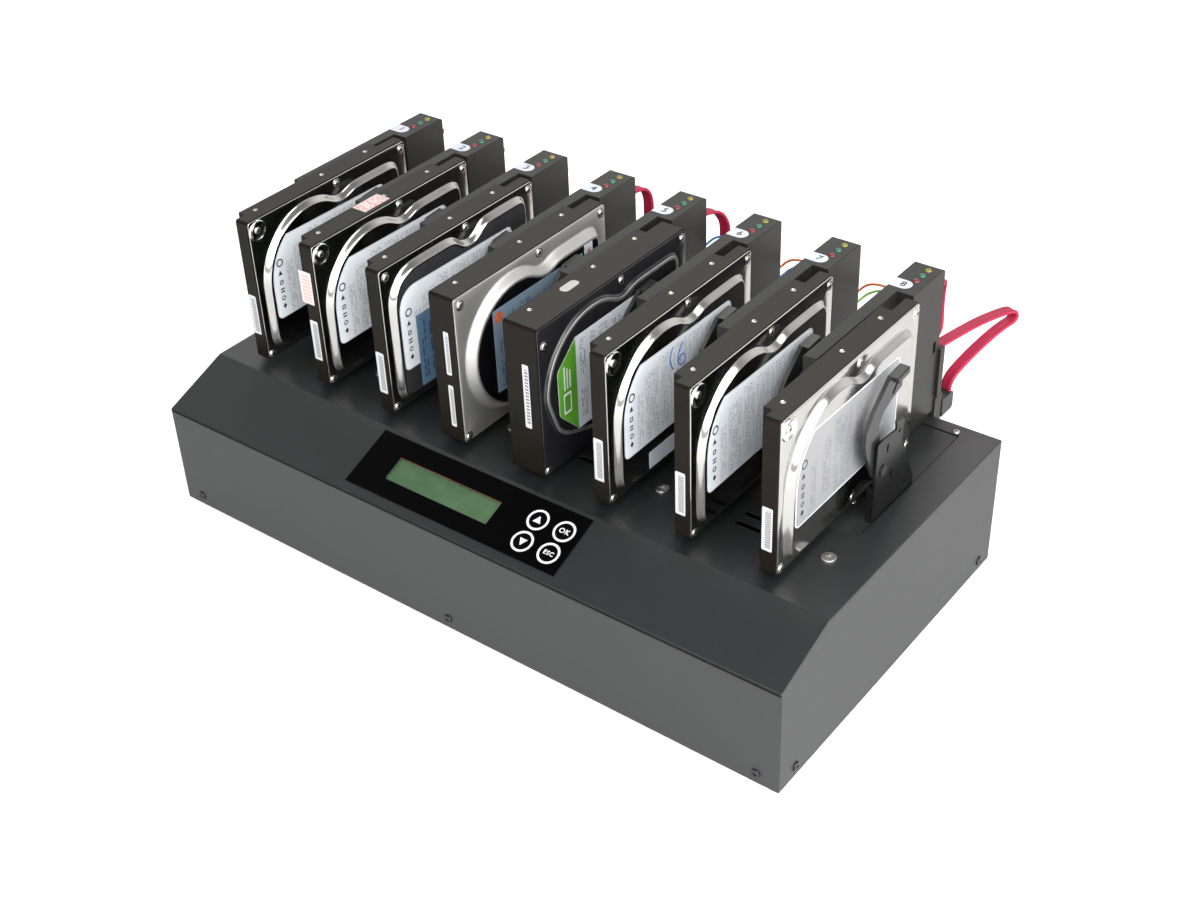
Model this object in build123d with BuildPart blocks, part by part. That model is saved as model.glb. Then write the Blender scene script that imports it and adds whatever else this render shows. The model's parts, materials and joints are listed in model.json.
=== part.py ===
from build123d import *
from math import atan2, cos, degrees, radians, sin, tan
import os

# Eight-bay hard drive duplicator: a low sheet-metal case with a sloped control
# panel, and eight stations that each hold an upright drive against a tower.
# Millimetres. +X is to the operator's right, +Y to the back, +Z up. The origin
# is at the bottom centre of the rigid pieces, on the surface that it stands on.

# Case
case_width = 474.0
case_depth = 247.0
case_height = 90.4
front_height = 72.1
slope_run = 47.4
sheet = 1.2
bend_radius = 1.6
pan_clear = 0.3
pan_flange = 14.0
pan_lip = 6.0
foot_height = 3.0
foot_radius = 8.0
foot_inset = 26.0

# Stations, measured from each station's own centre line and the case front
station_count = 8
station_pitch = 56.35
opening_left = -19.0
opening_right = 16.8
opening_rear_left = -8.6
opening_inset = 10.0
opening_length = 123.0
opening_corner = 7.0
opening_gap = 0.8
vent_left = 8.5
vent_length = 18.6
vent_width = 4.0
vent_ahead = 24.0
vent_spacing = 10.0

# Moulded base in each opening
base_thickness = 2.4
base_lap = 3.0
deck_drop = 0.6
rail_left = -15.0
rail_width = 9.5
rail_inset = 4.0
rail_gap = 0.3

# Tower beside and behind each drive
tower_height = 99.6
tower_left = -29.3
wall_width = 8.4
wall_depth = 89.0
head_width = 19.2
head_depth = 37.0
tower_overhang = 5.0
tower_skin = 1.2
harness_margin = 3.0
back_thickness = 1.6
back_drop = 14.0
jack_depth = 10.0
jack_width = 12.0
jack_height = 20.0
power_depth = 5.4
power_width = 13.6
power_height = 34.0
tower_slot_width = 3.4
tower_slot_height = 8.0
led_radius = 2.3
led_clear = 0.1
led_rise = 1.1
led_row = -17.4
led_first = 5.9
led_spacing = 7.35
led_board_gap = 3.4
led_board_thickness = 1.2

# Drives
drive_length = 147.0
drive_width = 101.6
drive_left = -15.6
drive_clearance = 4.0
socket_gap = 11.9
thin_flange = 16.0
thin_dome = 4.0
silver_flange = 18.8
silver_dome = 5.6
thick_flange = 24.6
thick_dome = 1.5
silver_station = 4
thick_station = 5
square_station = 3
cover_thickness = 0.9
cover_inset = 0.7
corner_radius = 2.0
crown_side = 4.2
crown_nose = 4.8
crown_rear = 9.0
crown_corner = 8.0
crown_big_corner = 24.0
crown_blend = 6.8
crown_bevel = 1.1
arm_side = 9.0
scallop_front = 80.0
scallop_radius = 10.5
scallop_inset = 3.0
hole_radius = 1.6
hole_depth = 5.0
hole_from_bottom = 6.35
hole_offsets = (28.5, 70.1, 130.1)
board_thickness = 1.6
pocket_depth = 4.6
pocket_margin = 8.0
notch_depth = 7.4
notch_length = 18.0
nose_depth = 5.6
nose_length = 8.0
plug_rise = 9.0
plug_length = 44.0
tongue_thickness = 1.2
tongue_length = 4.5
tongue_clear = 0.4

# Lever and its bracket
pivot_inset = 15.0
pivot_rise = 31.6
pivot_radius = 2.0
pivot_clear = 0.05
shoulder_radius = 3.4
lever_left = 11.3
lever_thickness = 2.5
boss_radius = 6.5
pad_width = 6.6
pad_thickness = 4.0
bracket_gap = 1.1
bracket_thickness = 1.2

# Control panel, measured along and up the slope
panel_width = 163.0
panel_length = 41.5
panel_start = 6.4
panel_thickness = 0.8
window_center = -17.8
window_width = 81.4
window_length = 17.3
window_start = 17.9
window_lap = 1.2
bezel_margin = 4.0
bezel_depth = 6.0
key_radius = 7.35
key_clear = 0.25
key_stem = 2.6
key_travel = 0.5
key_rise = 0.4
key_gap = 0.1
key_collar = 1.0
key_board_margin = 6.0
key_left = 51.0
key_low = 17.6
key_spacing_x = 19.4
key_spacing_y = 16.3
switch_height = 3.5
switch_side = 6.0
switch_plunger = 1.7
switch_plunger_rise = 0.6
board_standoff = 2.2
post_radius = 1.8
lcd_board_width = 116.0
lcd_board_length = 37.0

# Rear panel
fan_size = 60.0
fan_depth = 15.0
fan_bore = 28.0
fan_spacing = 90.0
fan_rise = 42.0
fan_blades = 7
fan_screw_inset = 5.0
hub_radius = 13.0
hub_wall = 1.5
hub_gap = 1.0
blade_tip = 26.5
blade_chord = 12.0
blade_thickness = 1.2
blade_pitch = 40.0
strut_width = 3.0
strut_depth = 2.0
bearing_radius = 4.0
bearing_length = 10.0
axle_radius = 1.5
axle_clear = 0.05
inlet_inset = 39.5
inlet_rise = 28.0
inlet_width = 27.0
inlet_height = 20.0
inlet_depth = 17.0
inlet_wall = 1.6
inlet_pin_width = 4.0
inlet_pin_thickness = 2.0
inlet_pin_length = 11.0
inlet_pin_spacing = 7.0
inlet_pin_drop = 4.0
flange_width = 2.2
flange_thickness = 1.6
switch_spacing = 36.0
switch_width = 13.0
switch_depth = 14.0
switch_wall = 1.2
rocker_clear = 0.3
rocker_length = 14.4
rocker_height = 5.0
rocker_dip = 1.2
rocker_axis_depth = 3.0
rocker_swing = 16.0

# Electronics inside
psu_width = 110.0
psu_depth = 125.0
psu_height = 38.0
psu_rise = 4.0
main_gap = 35.0
main_depth = 130.0
main_rise = 6.0
main_inset = 15.5
main_front = 62.0
heatsink_side = 40.0
heatsink_height = 18.0
heatsink_fins = 9
heatsink_base = 4.0
heatsink_fin = 1.4
chip_height = 2.0
port_width = 17.0
port_depth = 7.0
port_height = 9.0
port_inset = 4.0
standoff_radius = 3.0
standoff_inset = 8.0
psu_inset = 10.5
psu_rear = 25.0
psu_foot_radius = 4.0
psu_foot_inset = 12.0

# Fasteners
screw_head = 1.0
screw_head_radius = 3.0
screw_radius = 1.5
screw_length = 6.0
screw_clear = 0.1
screw_cross = 3.2
screw_cross_width = 0.7
screw_rise = 6.5
front_screw_inset = 15.0
side_screw_front = 17.4
side_screw_rear = 13.7
top_screw_x = 12.4
top_screw_ahead = 22.8
top_screw_radius = 4.3

# Cables
ribbon_width = 8.0
ribbon_thickness = 2.4
ribbon_x = -15.0
ribbon_lean = 16.0
ribbon_lean_start = 22.0
cable_plug_width = 13.0
cable_plug_depth = 14.4
cable_plug_height = 12.6
wire_diameter = 1.5
arc_share = 0.45

os.makedirs("parts", exist_ok=True)

# Places that follow from the sizes
rear_reach = tower_overhang + back_thickness + jack_depth
front_y = (screw_head - case_depth - rear_reach) / 2
rear_y = front_y + case_depth
bottom_z = foot_height
top_z = bottom_z + case_height
under_top = top_z - sheet
deck_z = top_z - deck_drop
floor_z = bottom_z + sheet
slope_angle = degrees(atan2(case_height - front_height, slope_run))
slope_cos = cos(radians(slope_angle))
slope_sin = sin(radians(slope_angle))
stations = [(i - (station_count - 1) / 2) * station_pitch for i in range(station_count)]
station_places = [(x, 0, 0) for x in stations]
opening_back = rear_y - opening_inset
opening_y = opening_back - opening_length
wall_right = tower_left + wall_width
head_right = tower_left + head_width
tower_back = rear_y + tower_overhang
tower_rear = tower_back + back_thickness
head_front = tower_back - head_depth
wall_front = head_front - wall_depth
tower_top = top_z + tower_height
opening_step = head_front - base_lap
drive_rear = head_front - socket_gap
drive_front = drive_rear - drive_length
drive_z = top_z + drive_clearance
drive_top = drive_z + drive_width
drive_middle = drive_z + drive_width / 2
plug_z = drive_z + plug_rise
platter_radius = drive_width / 2 - crown_side
platter_front = crown_nose + platter_radius
pivot_y = wall_front + pivot_inset
pivot_z = top_z + pivot_rise
lever_right = lever_left + lever_thickness
bracket_x = lever_right + bracket_gap
slope_plane = Plane(
    origin=(0, front_y, bottom_z + front_height), x_dir=(1, 0, 0), z_dir=(0, -slope_sin, slope_cos)
)
key_places = {
    "key_up": (key_left, key_low + key_spacing_y),
    "key_down": (key_left, key_low),
    "key_ok": (key_left + key_spacing_x, key_low + key_spacing_y),
    "key_esc": (key_left + key_spacing_x, key_low),
}
window_middle = (window_center, window_start + window_length / 2)
pan_half = case_width / 2 - sheet - pan_clear
inlet_x = inlet_inset - pan_half
switch_x = inlet_x + switch_spacing
fan_x = switch_x + fan_spacing
psu_x = psu_inset + psu_width / 2 - pan_half
main_width = 2 * pan_half - psu_inset - psu_width - main_gap - main_inset
main_x = pan_half - main_inset - main_width / 2
front_screw_x = case_width / 2 - front_screw_inset
rear_plane = Plane(origin=(0, rear_y, bottom_z), x_dir=(1, 0, 0), z_dir=(0, -1, 0))


def lever_plane(x):
    """Upright plane across the lever's axis, with its origin on the axis."""
    return Plane(origin=(x, pivot_y, pivot_z), x_dir=(0, 1, 0), z_dir=(1, 0, 0))


def keep(piece, name):
    piece.label = name
    export_step(piece, f"parts/{name}.step")


def block(x0, x1, y0, y1, z0, z1, mode=Mode.ADD):
    """A box between two corners, in the part that is open."""
    with Locations(((x0 + x1) / 2, (y0 + y1) / 2, (z0 + z1) / 2)):
        Box(x1 - x0, y1 - y0, z1 - z0, mode=mode)


def repeated(piece, places):
    """Separate copies of one piece at several places."""
    with BuildPart() as group:
        with Locations(*places):
            add(piece)
    return group.part


def case_outline(inset, rear, floor):
    """Side outline of the case, drawn in by a sheet's thickness."""
    knee = bottom_z + front_height - inset * (1 - slope_sin) / slope_cos
    brow = front_y + slope_run + inset * (1 - slope_cos) / slope_sin
    roof = top_z - inset
    return [(front_y + inset, floor), (front_y + inset, knee), (brow, roof), (rear, roof), (rear, floor)]


def station_opening(grow):
    """Outline of a station's opening in the top sheet, grown by a margin."""
    left, right = opening_left - grow, opening_right + grow
    near, far = opening_y - grow, opening_back + grow
    inner, step = opening_rear_left - grow, opening_step + grow
    with BuildSketch() as outline:
        with BuildLine():
            Polyline(
                (left, near), (right, near), (right, far), (inner, far), (inner, step), (left, step), close=True
            )
        make_face()
        fillet(outline.vertices().group_by(Axis.Y)[0], opening_corner + grow)
    return outline.sketch


def tower_outline(inset, rear):
    """Plan of a tower: a thin wall beside the drive and a wider head behind it."""
    with BuildSketch() as outline:
        with BuildLine():
            Polyline(
                (tower_left + inset, wall_front + inset),
                (wall_right - inset, wall_front + inset),
                (wall_right - inset, head_front + inset),
                (head_right - inset, head_front + inset),
                (head_right - inset, rear),
                (tower_left + inset, rear),
                close=True,
            )
        make_face()
    return outline.sketch


# Places of the screws that hold the case together
front_screws = [(x, front_y, bottom_z + screw_rise) for x in (-front_screw_x, 0, front_screw_x)]
side_screws = [
    (side * case_width / 2, front_y + y, bottom_z + screw_rise)
    for side in (-1, 1)
    for y in (side_screw_front, case_depth - side_screw_rear)
]
top_screws = [(x + top_screw_x, opening_y - top_screw_ahead, top_z) for x in stations[1::2]]

# Sheet-metal cover: front, slope, top and sides folded from one sheet
with BuildPart() as top_cover:
    with BuildSketch(Plane.YZ):
        with BuildLine():
            Polyline(*case_outline(0, rear_y, bottom_z), close=True)
        make_face()
    extrude(amount=case_width / 2, both=True)
    bends = top_cover.edges().filter_by(Axis.X).filter_by_position(Axis.Z, bottom_z + sheet, top_z)
    fillet(bends.filter_by_position(Axis.Y, front_y, front_y + slope_run), bend_radius)
    sides = top_cover.faces().filter_by(Axis.X).edges()
    folds = sides.filter_by_position(Axis.Z, bottom_z + sheet, top_z)
    fillet(folds.filter_by_position(Axis.Y, front_y, rear_y - sheet), bend_radius / 2)
    with BuildSketch(Plane.YZ):
        with BuildLine():
            Polyline(*case_outline(sheet, rear_y + sheet, bottom_z - sheet), close=True)
        make_face()
    extrude(amount=case_width / 2 - sheet, both=True, mode=Mode.SUBTRACT)
    with BuildSketch(Plane.XY.offset(top_z)):
        with Locations(*[(x, 0) for x in stations]):
            add(station_opening(0))
        harness_depth = rear_y - pan_lip - base_lap - head_front - harness_margin
        with Locations(*[((x + tower_left + head_width / 2), head_front + harness_margin) for x in stations]):
            Rectangle(
                head_width - 2 * harness_margin - base_lap, harness_depth, align=(Align.CENTER, Align.MIN)
            )
        for row in range(2):
            slot_y = opening_y - vent_ahead + row * vent_spacing
            with Locations(*[(x + vent_left + vent_length / 2, slot_y) for x in stations[0::2]]):
                SlotOverall(vent_length, vent_width)
        with Locations(*[(x, y) for x, y, z in top_screws]):
            Circle(screw_radius + screw_clear)
    extrude(amount=-2 * sheet, mode=Mode.SUBTRACT)
    with BuildSketch(slope_plane):
        with Locations(window_middle):
            Rectangle(window_width + 2 * window_lap, window_length + 2 * window_lap)
        with Locations(*key_places.values()):
            Circle(key_stem + key_clear)
    extrude(amount=-2 * sheet, mode=Mode.SUBTRACT)
    with BuildSketch(Plane.XZ.offset(-front_y)):
        with Locations(*[(x, z) for x, y, z in front_screws]):
            Circle(screw_radius + screw_clear)
    extrude(amount=-2 * sheet, mode=Mode.SUBTRACT)
    with BuildSketch(Plane.YZ):
        with Locations(*[(y, z) for x, y, z in side_screws[:2]]):
            Circle(screw_radius + screw_clear)
    extrude(amount=case_width, both=True, mode=Mode.SUBTRACT)

# Pan: floor, low flanges behind the cover's skirts, and the rear wall
with BuildPart() as base_pan:
    near = front_y + sheet + pan_clear
    block(-pan_half, pan_half, near, rear_y, bottom_z, floor_z)
    block(-pan_half, pan_half, near, near + sheet, bottom_z, bottom_z + pan_flange)
    block(-pan_half, -pan_half + sheet, near, rear_y, bottom_z, bottom_z + pan_flange)
    block(pan_half - sheet, pan_half, near, rear_y, bottom_z, bottom_z + pan_flange)
    block(-pan_half, pan_half, rear_y - sheet, rear_y, bottom_z, under_top)
    block(-pan_half, pan_half, rear_y - pan_lip, rear_y, under_top - sheet, under_top)
    with BuildSketch(Plane.XZ.offset(-rear_y)):
        with Locations((inlet_x, bottom_z + inlet_rise)):
            Rectangle(inlet_width, inlet_height)
        with Locations((switch_x, bottom_z + inlet_rise)):
            Rectangle(switch_width, inlet_height)
        with Locations((fan_x, bottom_z + fan_rise)):
            Circle(hole_radius)
            for ring in range(1, 6):
                with PolarLocations(ring * 4.9, 6 * ring):
                    Circle(hole_radius)
            with GridLocations(fan_size - 2 * fan_screw_inset, fan_size - 2 * fan_screw_inset, 2, 2):
                Circle(screw_radius + screw_clear)
    extrude(amount=2 * sheet, both=True, mode=Mode.SUBTRACT)
    with BuildSketch(Plane.XZ.offset(-near)):
        with Locations(*[(x, z) for x, y, z in front_screws]):
            Circle(screw_radius + screw_clear)
    extrude(amount=-2 * sheet, mode=Mode.SUBTRACT)
    with BuildSketch(Plane.YZ):
        with Locations(*[(y, z) for x, y, z in side_screws[:2]]):
            Circle(screw_radius + screw_clear)
    extrude(amount=case_width, both=True, mode=Mode.SUBTRACT)

# Round rubber feet under the pan
with BuildPart() as foot:
    Cylinder(foot_radius, foot_height, align=(Align.CENTER, Align.CENTER, Align.MIN))
    fillet(foot.edges().group_by(Axis.Z)[0], foot_height / 4)
foot_x = case_width / 2 - foot_inset
foot_places = [(x, y, 0) for x in (-foot_x, foot_x) for y in (front_y + foot_inset, rear_y - foot_inset)]
rubber_feet = repeated(foot.part, foot_places)

# Moulded base of a station: lapped plate, deck in the opening, and drive rail
with BuildPart() as station_base:
    with BuildSketch(Plane.XY.offset(under_top)):
        add(station_opening(base_lap))
    extrude(amount=-base_thickness)
    with BuildSketch(Plane.XY.offset(under_top)):
        add(station_opening(-opening_gap))
    extrude(amount=sheet - deck_drop)
    block(
        rail_left, rail_left + rail_width, opening_y + rail_inset, opening_step - rail_inset,
        under_top, drive_z - rail_gap,
    )
    rail_edges = station_base.edges().filter_by(Axis.Y).group_by(Axis.Z)[-1]
    chamfer(rail_edges, deck_drop)
    block(
        lever_left - 1, lever_right + 1, opening_y + rail_inset, pivot_y - 2 * boss_radius,
        deck_z - deck_drop, deck_z, mode=Mode.SUBTRACT,
    )
station_bases = repeated(station_base.part, station_places)

# Tower shell, open below and at the back
with BuildPart() as tower:
    with BuildSketch(Plane.XY.offset(top_z)):
        add(tower_outline(0, tower_back))
    extrude(amount=tower_height)
    fillet(tower.faces().sort_by(Axis.Z)[-1].edges(), tower_skin / 3)
    with BuildSketch(Plane.XY.offset(top_z)):
        add(tower_outline(tower_skin, tower_back + tower_skin))
    extrude(amount=tower_height - tower_skin, mode=Mode.SUBTRACT)
    with Locations(*[(led_row, tower_back - led_first - i * led_spacing, tower_top) for i in range(3)]):
        Cylinder(led_radius + led_clear, 3 * tower_skin, mode=Mode.SUBTRACT)
    slot_z = top_z + power_height + jack_height / 2
    block(
        head_right - 2 * tower_skin, head_right + tower_skin, tower_back - tower_slot_width - 2 * tower_skin,
        tower_back - 2 * tower_skin, slot_z, slot_z + tower_slot_height, mode=Mode.SUBTRACT,
    )
station_towers = repeated(tower.part, station_places)

# Plate at each tower's back, with its data jack and power block
jack_z = top_z - back_drop + 2
power_z = top_z + back_drop - 4
with BuildPart() as tower_plate:
    block(tower_left, head_right, tower_back, tower_rear, top_z - back_drop, tower_top - tower_skin)
    block(
        ribbon_x - jack_width / 2, ribbon_x + jack_width / 2, tower_rear, tower_rear + jack_depth,
        jack_z, jack_z + jack_height,
    )
    block(
        ribbon_x - power_width / 2, ribbon_x + power_width / 2, tower_rear, tower_rear + power_depth,
        power_z, power_z + power_height,
    )
    fillet(tower_plate.faces().sort_by(Axis.Y)[-1].edges(), 1)
tower_backs = repeated(tower_plate.part, station_places)

# Small board under each tower's top, hung on two posts, and its three lamps
with BuildPart() as led_board:
    board_top = tower_top - tower_skin - led_board_gap
    lamp_ys = [tower_back - led_first - i * led_spacing for i in range(3)]
    block(
        led_row - 5, led_row + 5, lamp_ys[-1] - 6, lamp_ys[0] + 3.5,
        board_top - led_board_thickness, board_top,
    )
    post_y = lamp_ys[-1] - 4
    for post_x in (led_row - 3.5, led_row + 3.5):
        block(post_x - 1.2, post_x + 1.2, post_y - 1.2, post_y + 1.2, board_top, board_top + led_board_gap)
led_boards = repeated(led_board.part, station_places)

with BuildPart() as lamp:
    lamp_height = tower_top + led_rise - board_top
    Cylinder(led_radius, lamp_height, align=(Align.CENTER, Align.CENTER, Align.MIN))
    fillet(lamp.edges().group_by(Axis.Z)[-1], led_radius * 0.7)
lamps = {
    name: repeated(lamp.part, [(x + led_row, y, board_top) for x in stations])
    for name, y in zip(("leds_yellow", "leds_green", "leds_red"), lamp_ys)
}

# Socket on each tower's front that the drive plugs into
plug_x = drive_left + notch_depth / 2
with BuildPart() as drive_socket:
    socket_front = drive_rear + rail_gap
    block(
        drive_left, drive_left + notch_depth, socket_front, head_front,
        plug_z, plug_z + plug_length,
    )
    block(
        plug_x - tongue_thickness / 2, plug_x + tongue_thickness / 2, drive_rear - tongue_length, socket_front,
        plug_z + 2 * tongue_thickness, plug_z + plug_length - 2 * tongue_thickness,
    )
drive_sockets = repeated(drive_socket.part, station_places)

# Steel bracket that carries the lever, upright on the base
with BuildPart() as lever_bracket:
    foot_rise = deck_z - pivot_z
    with BuildSketch(lever_plane(bracket_x)):
        with BuildLine():
            Polyline(
                (-9, foot_rise), (-7.5, 21), (-2, 21.5), (13.5, 20), (12.5, 26), (22, 23), (20.6, 9.5),
                (38, -26), (38, foot_rise), close=True,
            )
        make_face()
        Circle(pivot_radius, mode=Mode.SUBTRACT)
        with Locations((4, 13), (10, -8)):
            SlotOverall(6, 1.8, rotation=90, mode=Mode.SUBTRACT)
        with Locations((17, 17.5), (26, -22)):
            Circle(1.2, mode=Mode.SUBTRACT)
    extrude(amount=bracket_thickness)
    flange_top = pivot_z - boss_radius - 2
    block(bracket_x - 3.2, bracket_x, pivot_y - 9, pivot_y - 9 + bracket_thickness, deck_z, flange_top)
    block(bracket_x - 5, bracket_x, pivot_y + 4, pivot_y + 36, deck_z, deck_z + bracket_thickness)
lever_brackets = repeated(lever_bracket.part, station_places)

# Stepped pin that the lever turns on, pressed into the bracket
with BuildPart() as pivot_pin:
    pin_end = bracket_x + bracket_thickness
    with BuildSketch(lever_plane(lever_left)):
        Circle(pivot_radius)
    extrude(amount=pin_end - lever_left)
    with BuildSketch(lever_plane(lever_right + 0.1)):
        Circle(shoulder_radius)
    extrude(amount=bracket_gap - 0.1)
    with BuildSketch(lever_plane(pin_end)):
        Circle(shoulder_radius)
    extrude(amount=0.8)
pivot_pins = repeated(pivot_pin.part, station_places)

# Lever: boss, bent arm with a finger slot, and a wide thumb pad
with BuildPart() as lever:
    with BuildSketch(lever_plane(lever_left)):
        Circle(boss_radius)
        with BuildLine():
            Polyline(
                (-6, -2.5), (-11, 7.5), (-15.5, 16), (-18, 25), (-17.7, 33), (-9.3, 44), (7, 57.6),
                (20.5, 58.6), (21.1, 54), (19.8, 45), (8, 41.5), (0.7, 38), (-3.8, 31.2), (-1.7, 19.7),
                (6, 2.5), close=True,
            )
        make_face()
        with Locations((12.6, 48.6)):
            SlotOverall(10, 2.6, rotation=50, mode=Mode.SUBTRACT)
        Circle(pivot_radius + pivot_clear, mode=Mode.SUBTRACT)
    extrude(amount=lever_thickness)
    with BuildSketch(lever_plane(lever_left)):
        with BuildLine():
            Polyline((7, 57.6), (20.5, 58.6), (20.9, 54.6), (9, 53.4), close=True)
        make_face()
    extrude(amount=pad_width)
    pad_end = lever.faces().filter_by(Axis.X).sort_by(Axis.X)[-1]
    fillet(pad_end.edges(), 0.8)

# Printed plate of the control panel, stuck on the slope
with BuildPart() as control_overlay:
    with BuildSketch(slope_plane):
        with Locations((0, panel_start)):
            Rectangle(panel_width, panel_length, align=(Align.CENTER, Align.MIN))
        with Locations(window_middle):
            Rectangle(window_width, window_length, mode=Mode.SUBTRACT)
        with Locations(*key_places.values()):
            Circle(key_radius + key_clear, mode=Mode.SUBTRACT)
    extrude(amount=panel_thickness)

# Clear window, held in the sheet's opening under the plate
with BuildPart() as lcd_glass:
    with BuildSketch(slope_plane):
        with Locations(window_middle):
            lap = window_lap - pan_clear
            Rectangle(window_width + 2 * lap, window_length + 2 * lap)
    extrude(amount=-sheet)

# Display behind the window: metal bezel on its board, hung on four posts
with BuildPart() as lcd_module:
    lcd_depth = sheet + bezel_depth
    with BuildSketch(slope_plane.offset(-sheet)):
        with Locations(window_middle):
            Rectangle(window_width + 2 * bezel_margin, window_length + 2 * bezel_margin)
    extrude(amount=-bezel_depth)
    with BuildSketch(slope_plane.offset(-lcd_depth)):
        with Locations(window_middle):
            Rectangle(lcd_board_width, lcd_board_length)
    extrude(amount=-board_thickness)
    with BuildSketch(slope_plane.offset(-lcd_depth)):
        with Locations(window_middle):
            with GridLocations(lcd_board_width - 4 * post_radius, lcd_board_length - 4 * post_radius, 2, 2):
                Circle(post_radius)
    extrude(amount=bezel_depth)

# Board with a push switch under each key, hung on four posts
switch_top = -sheet - board_standoff
key_middle = (key_left + key_spacing_x / 2, key_low + key_spacing_y / 2)
with BuildPart() as key_board:
    with BuildSketch(slope_plane.offset(switch_top - switch_height)):
        with Locations(key_middle):
            Rectangle(key_spacing_x + 2 * key_board_margin, key_spacing_y + 2 * key_board_margin)
    extrude(amount=-board_thickness)
    with BuildSketch(slope_plane.offset(switch_top - switch_height)):
        with Locations(*key_places.values()):
            Rectangle(switch_side, switch_side)
    extrude(amount=switch_height - switch_plunger_rise)
    with BuildSketch(slope_plane.offset(switch_top - switch_height)):
        with Locations(*key_places.values()):
            Circle(switch_plunger)
    extrude(amount=switch_height)
    with BuildSketch(slope_plane.offset(switch_top - switch_height)):
        with Locations(key_middle):
            reach = 2 * (key_board_margin - post_radius)
            with GridLocations(key_spacing_x + reach, key_spacing_y + reach, 2, 2):
                Circle(post_radius)
    extrude(amount=switch_height + board_standoff)


def panel_key(place):
    """Key cap in the plate's hole, with a stem and a collar that holds it under the sheet."""
    cap_foot = key_travel + key_gap
    stem_foot = switch_top + key_travel + key_gap
    with BuildPart() as key:
        with BuildSketch(slope_plane.offset(cap_foot)):
            with Locations(place):
                Circle(key_radius)
        extrude(amount=panel_thickness + key_rise - cap_foot)
        with BuildSketch(slope_plane.offset(stem_foot)):
            with Locations(place):
                Circle(key_stem)
        extrude(amount=cap_foot - stem_foot)
        with BuildSketch(slope_plane.offset(stem_foot)):
            with Locations(place):
                Circle(key_stem + key_collar)
        extrude(amount=-sheet - pan_clear - stem_foot)
    return key.part


# Main board on standoffs, with a row of drive ports and a finned cooler
board_z = floor_z + main_rise
board_face = board_z + board_thickness
main_left = main_x - main_width / 2
main_y = front_y + main_front
cooler_x = main_left + main_width / 3
cooler_y = main_y + main_depth / 2
with BuildPart() as main_board:
    block(main_left, main_left + main_width, main_y, main_y + main_depth, board_z, board_face)
    port_y = main_y + main_depth - port_inset
    port_spacing = (main_width - 2 * standoff_inset - 2 * port_width) / station_count
    for i in range(station_count):
        port_x = main_left + standoff_inset + port_width + i * port_spacing
        block(port_x, port_x + port_width, port_y - port_depth, port_y, board_face, board_face + port_height)
    chip_side = heatsink_side * 0.8
    with Locations((cooler_x, cooler_y, board_face), (cooler_x + main_width / 3, cooler_y, board_face)):
        Box(chip_side, chip_side, chip_height, align=(Align.CENTER, Align.CENTER, Align.MIN))

with BuildPart() as standoff:
    with BuildSketch(Plane.XY.offset(floor_z)):
        RegularPolygon(standoff_radius, 6)
    extrude(amount=main_rise)
standoff_x = [main_left + standoff_inset, main_x, main_left + main_width - standoff_inset]
standoff_y = [main_y + standoff_inset, main_y + main_depth - 3 * standoff_inset]
board_standoffs = repeated(standoff.part, [(x, y, 0) for x in standoff_x for y in standoff_y])

with BuildPart() as board_heatsink:
    cooler_foot = board_face + chip_height
    with Locations((cooler_x, cooler_y, cooler_foot)):
        Box(heatsink_side, heatsink_side, heatsink_base, align=(Align.CENTER, Align.CENTER, Align.MIN))
    fin_spacing = (heatsink_side - heatsink_fin) / (heatsink_fins - 1)
    with Locations((cooler_x, cooler_y, cooler_foot)):
        with GridLocations(fin_spacing, 0, heatsink_fins, 1):
            Box(heatsink_fin, heatsink_side, heatsink_height, align=(Align.CENTER, Align.CENTER, Align.MIN))

# Enclosed power supply on four feet, with its terminal strip in front
with BuildPart() as power_supply:
    psu_back = rear_y - psu_rear
    psu_foot = floor_z + psu_rise
    block(
        psu_x - psu_width / 2, psu_x + psu_width / 2, psu_back - psu_depth, psu_back,
        psu_foot, psu_foot + psu_height,
    )
    block(
        psu_x - psu_width / 3, psu_x + psu_width / 3, psu_back - psu_depth - port_depth,
        psu_back - psu_depth, psu_foot, psu_foot + psu_height / 3,
    )
    foot_spread = 2 * psu_foot_inset
    with Locations((psu_x, psu_back - psu_depth / 2, floor_z)):
        with GridLocations(psu_width - foot_spread, psu_depth - foot_spread, 2, 2):
            Cylinder(psu_foot_radius, psu_rise, align=(Align.CENTER, Align.CENTER, Align.MIN))

# Square fan frame inside the rear wall; its struts carry the bearing tube
fan_plane = Plane(
    origin=(fan_x, rear_y - sheet, bottom_z + fan_rise), x_dir=(1, 0, 0), z_dir=(0, -1, 0)
)
with BuildPart() as fan_frame:
    with BuildSketch(fan_plane):
        RectangleRounded(fan_size, fan_size, bearing_radius)
        Circle(fan_bore, mode=Mode.SUBTRACT)
        with GridLocations(fan_size - 2 * fan_screw_inset, fan_size - 2 * fan_screw_inset, 2, 2):
            Circle(screw_radius + screw_clear, mode=Mode.SUBTRACT)
    extrude(amount=fan_depth)
    with BuildSketch(fan_plane):
        Circle(hub_radius)
        with PolarLocations(0, 4):
            Rectangle(fan_bore + strut_width / 4, strut_width, align=(Align.MIN, Align.CENTER))
    extrude(amount=strut_depth)
    with BuildSketch(fan_plane):
        Circle(bearing_radius)
    extrude(amount=bearing_length)
    with BuildSketch(fan_plane.offset(strut_depth / 2)):
        Circle(axle_radius + axle_clear)
    extrude(amount=bearing_length, mode=Mode.SUBTRACT)

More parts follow.
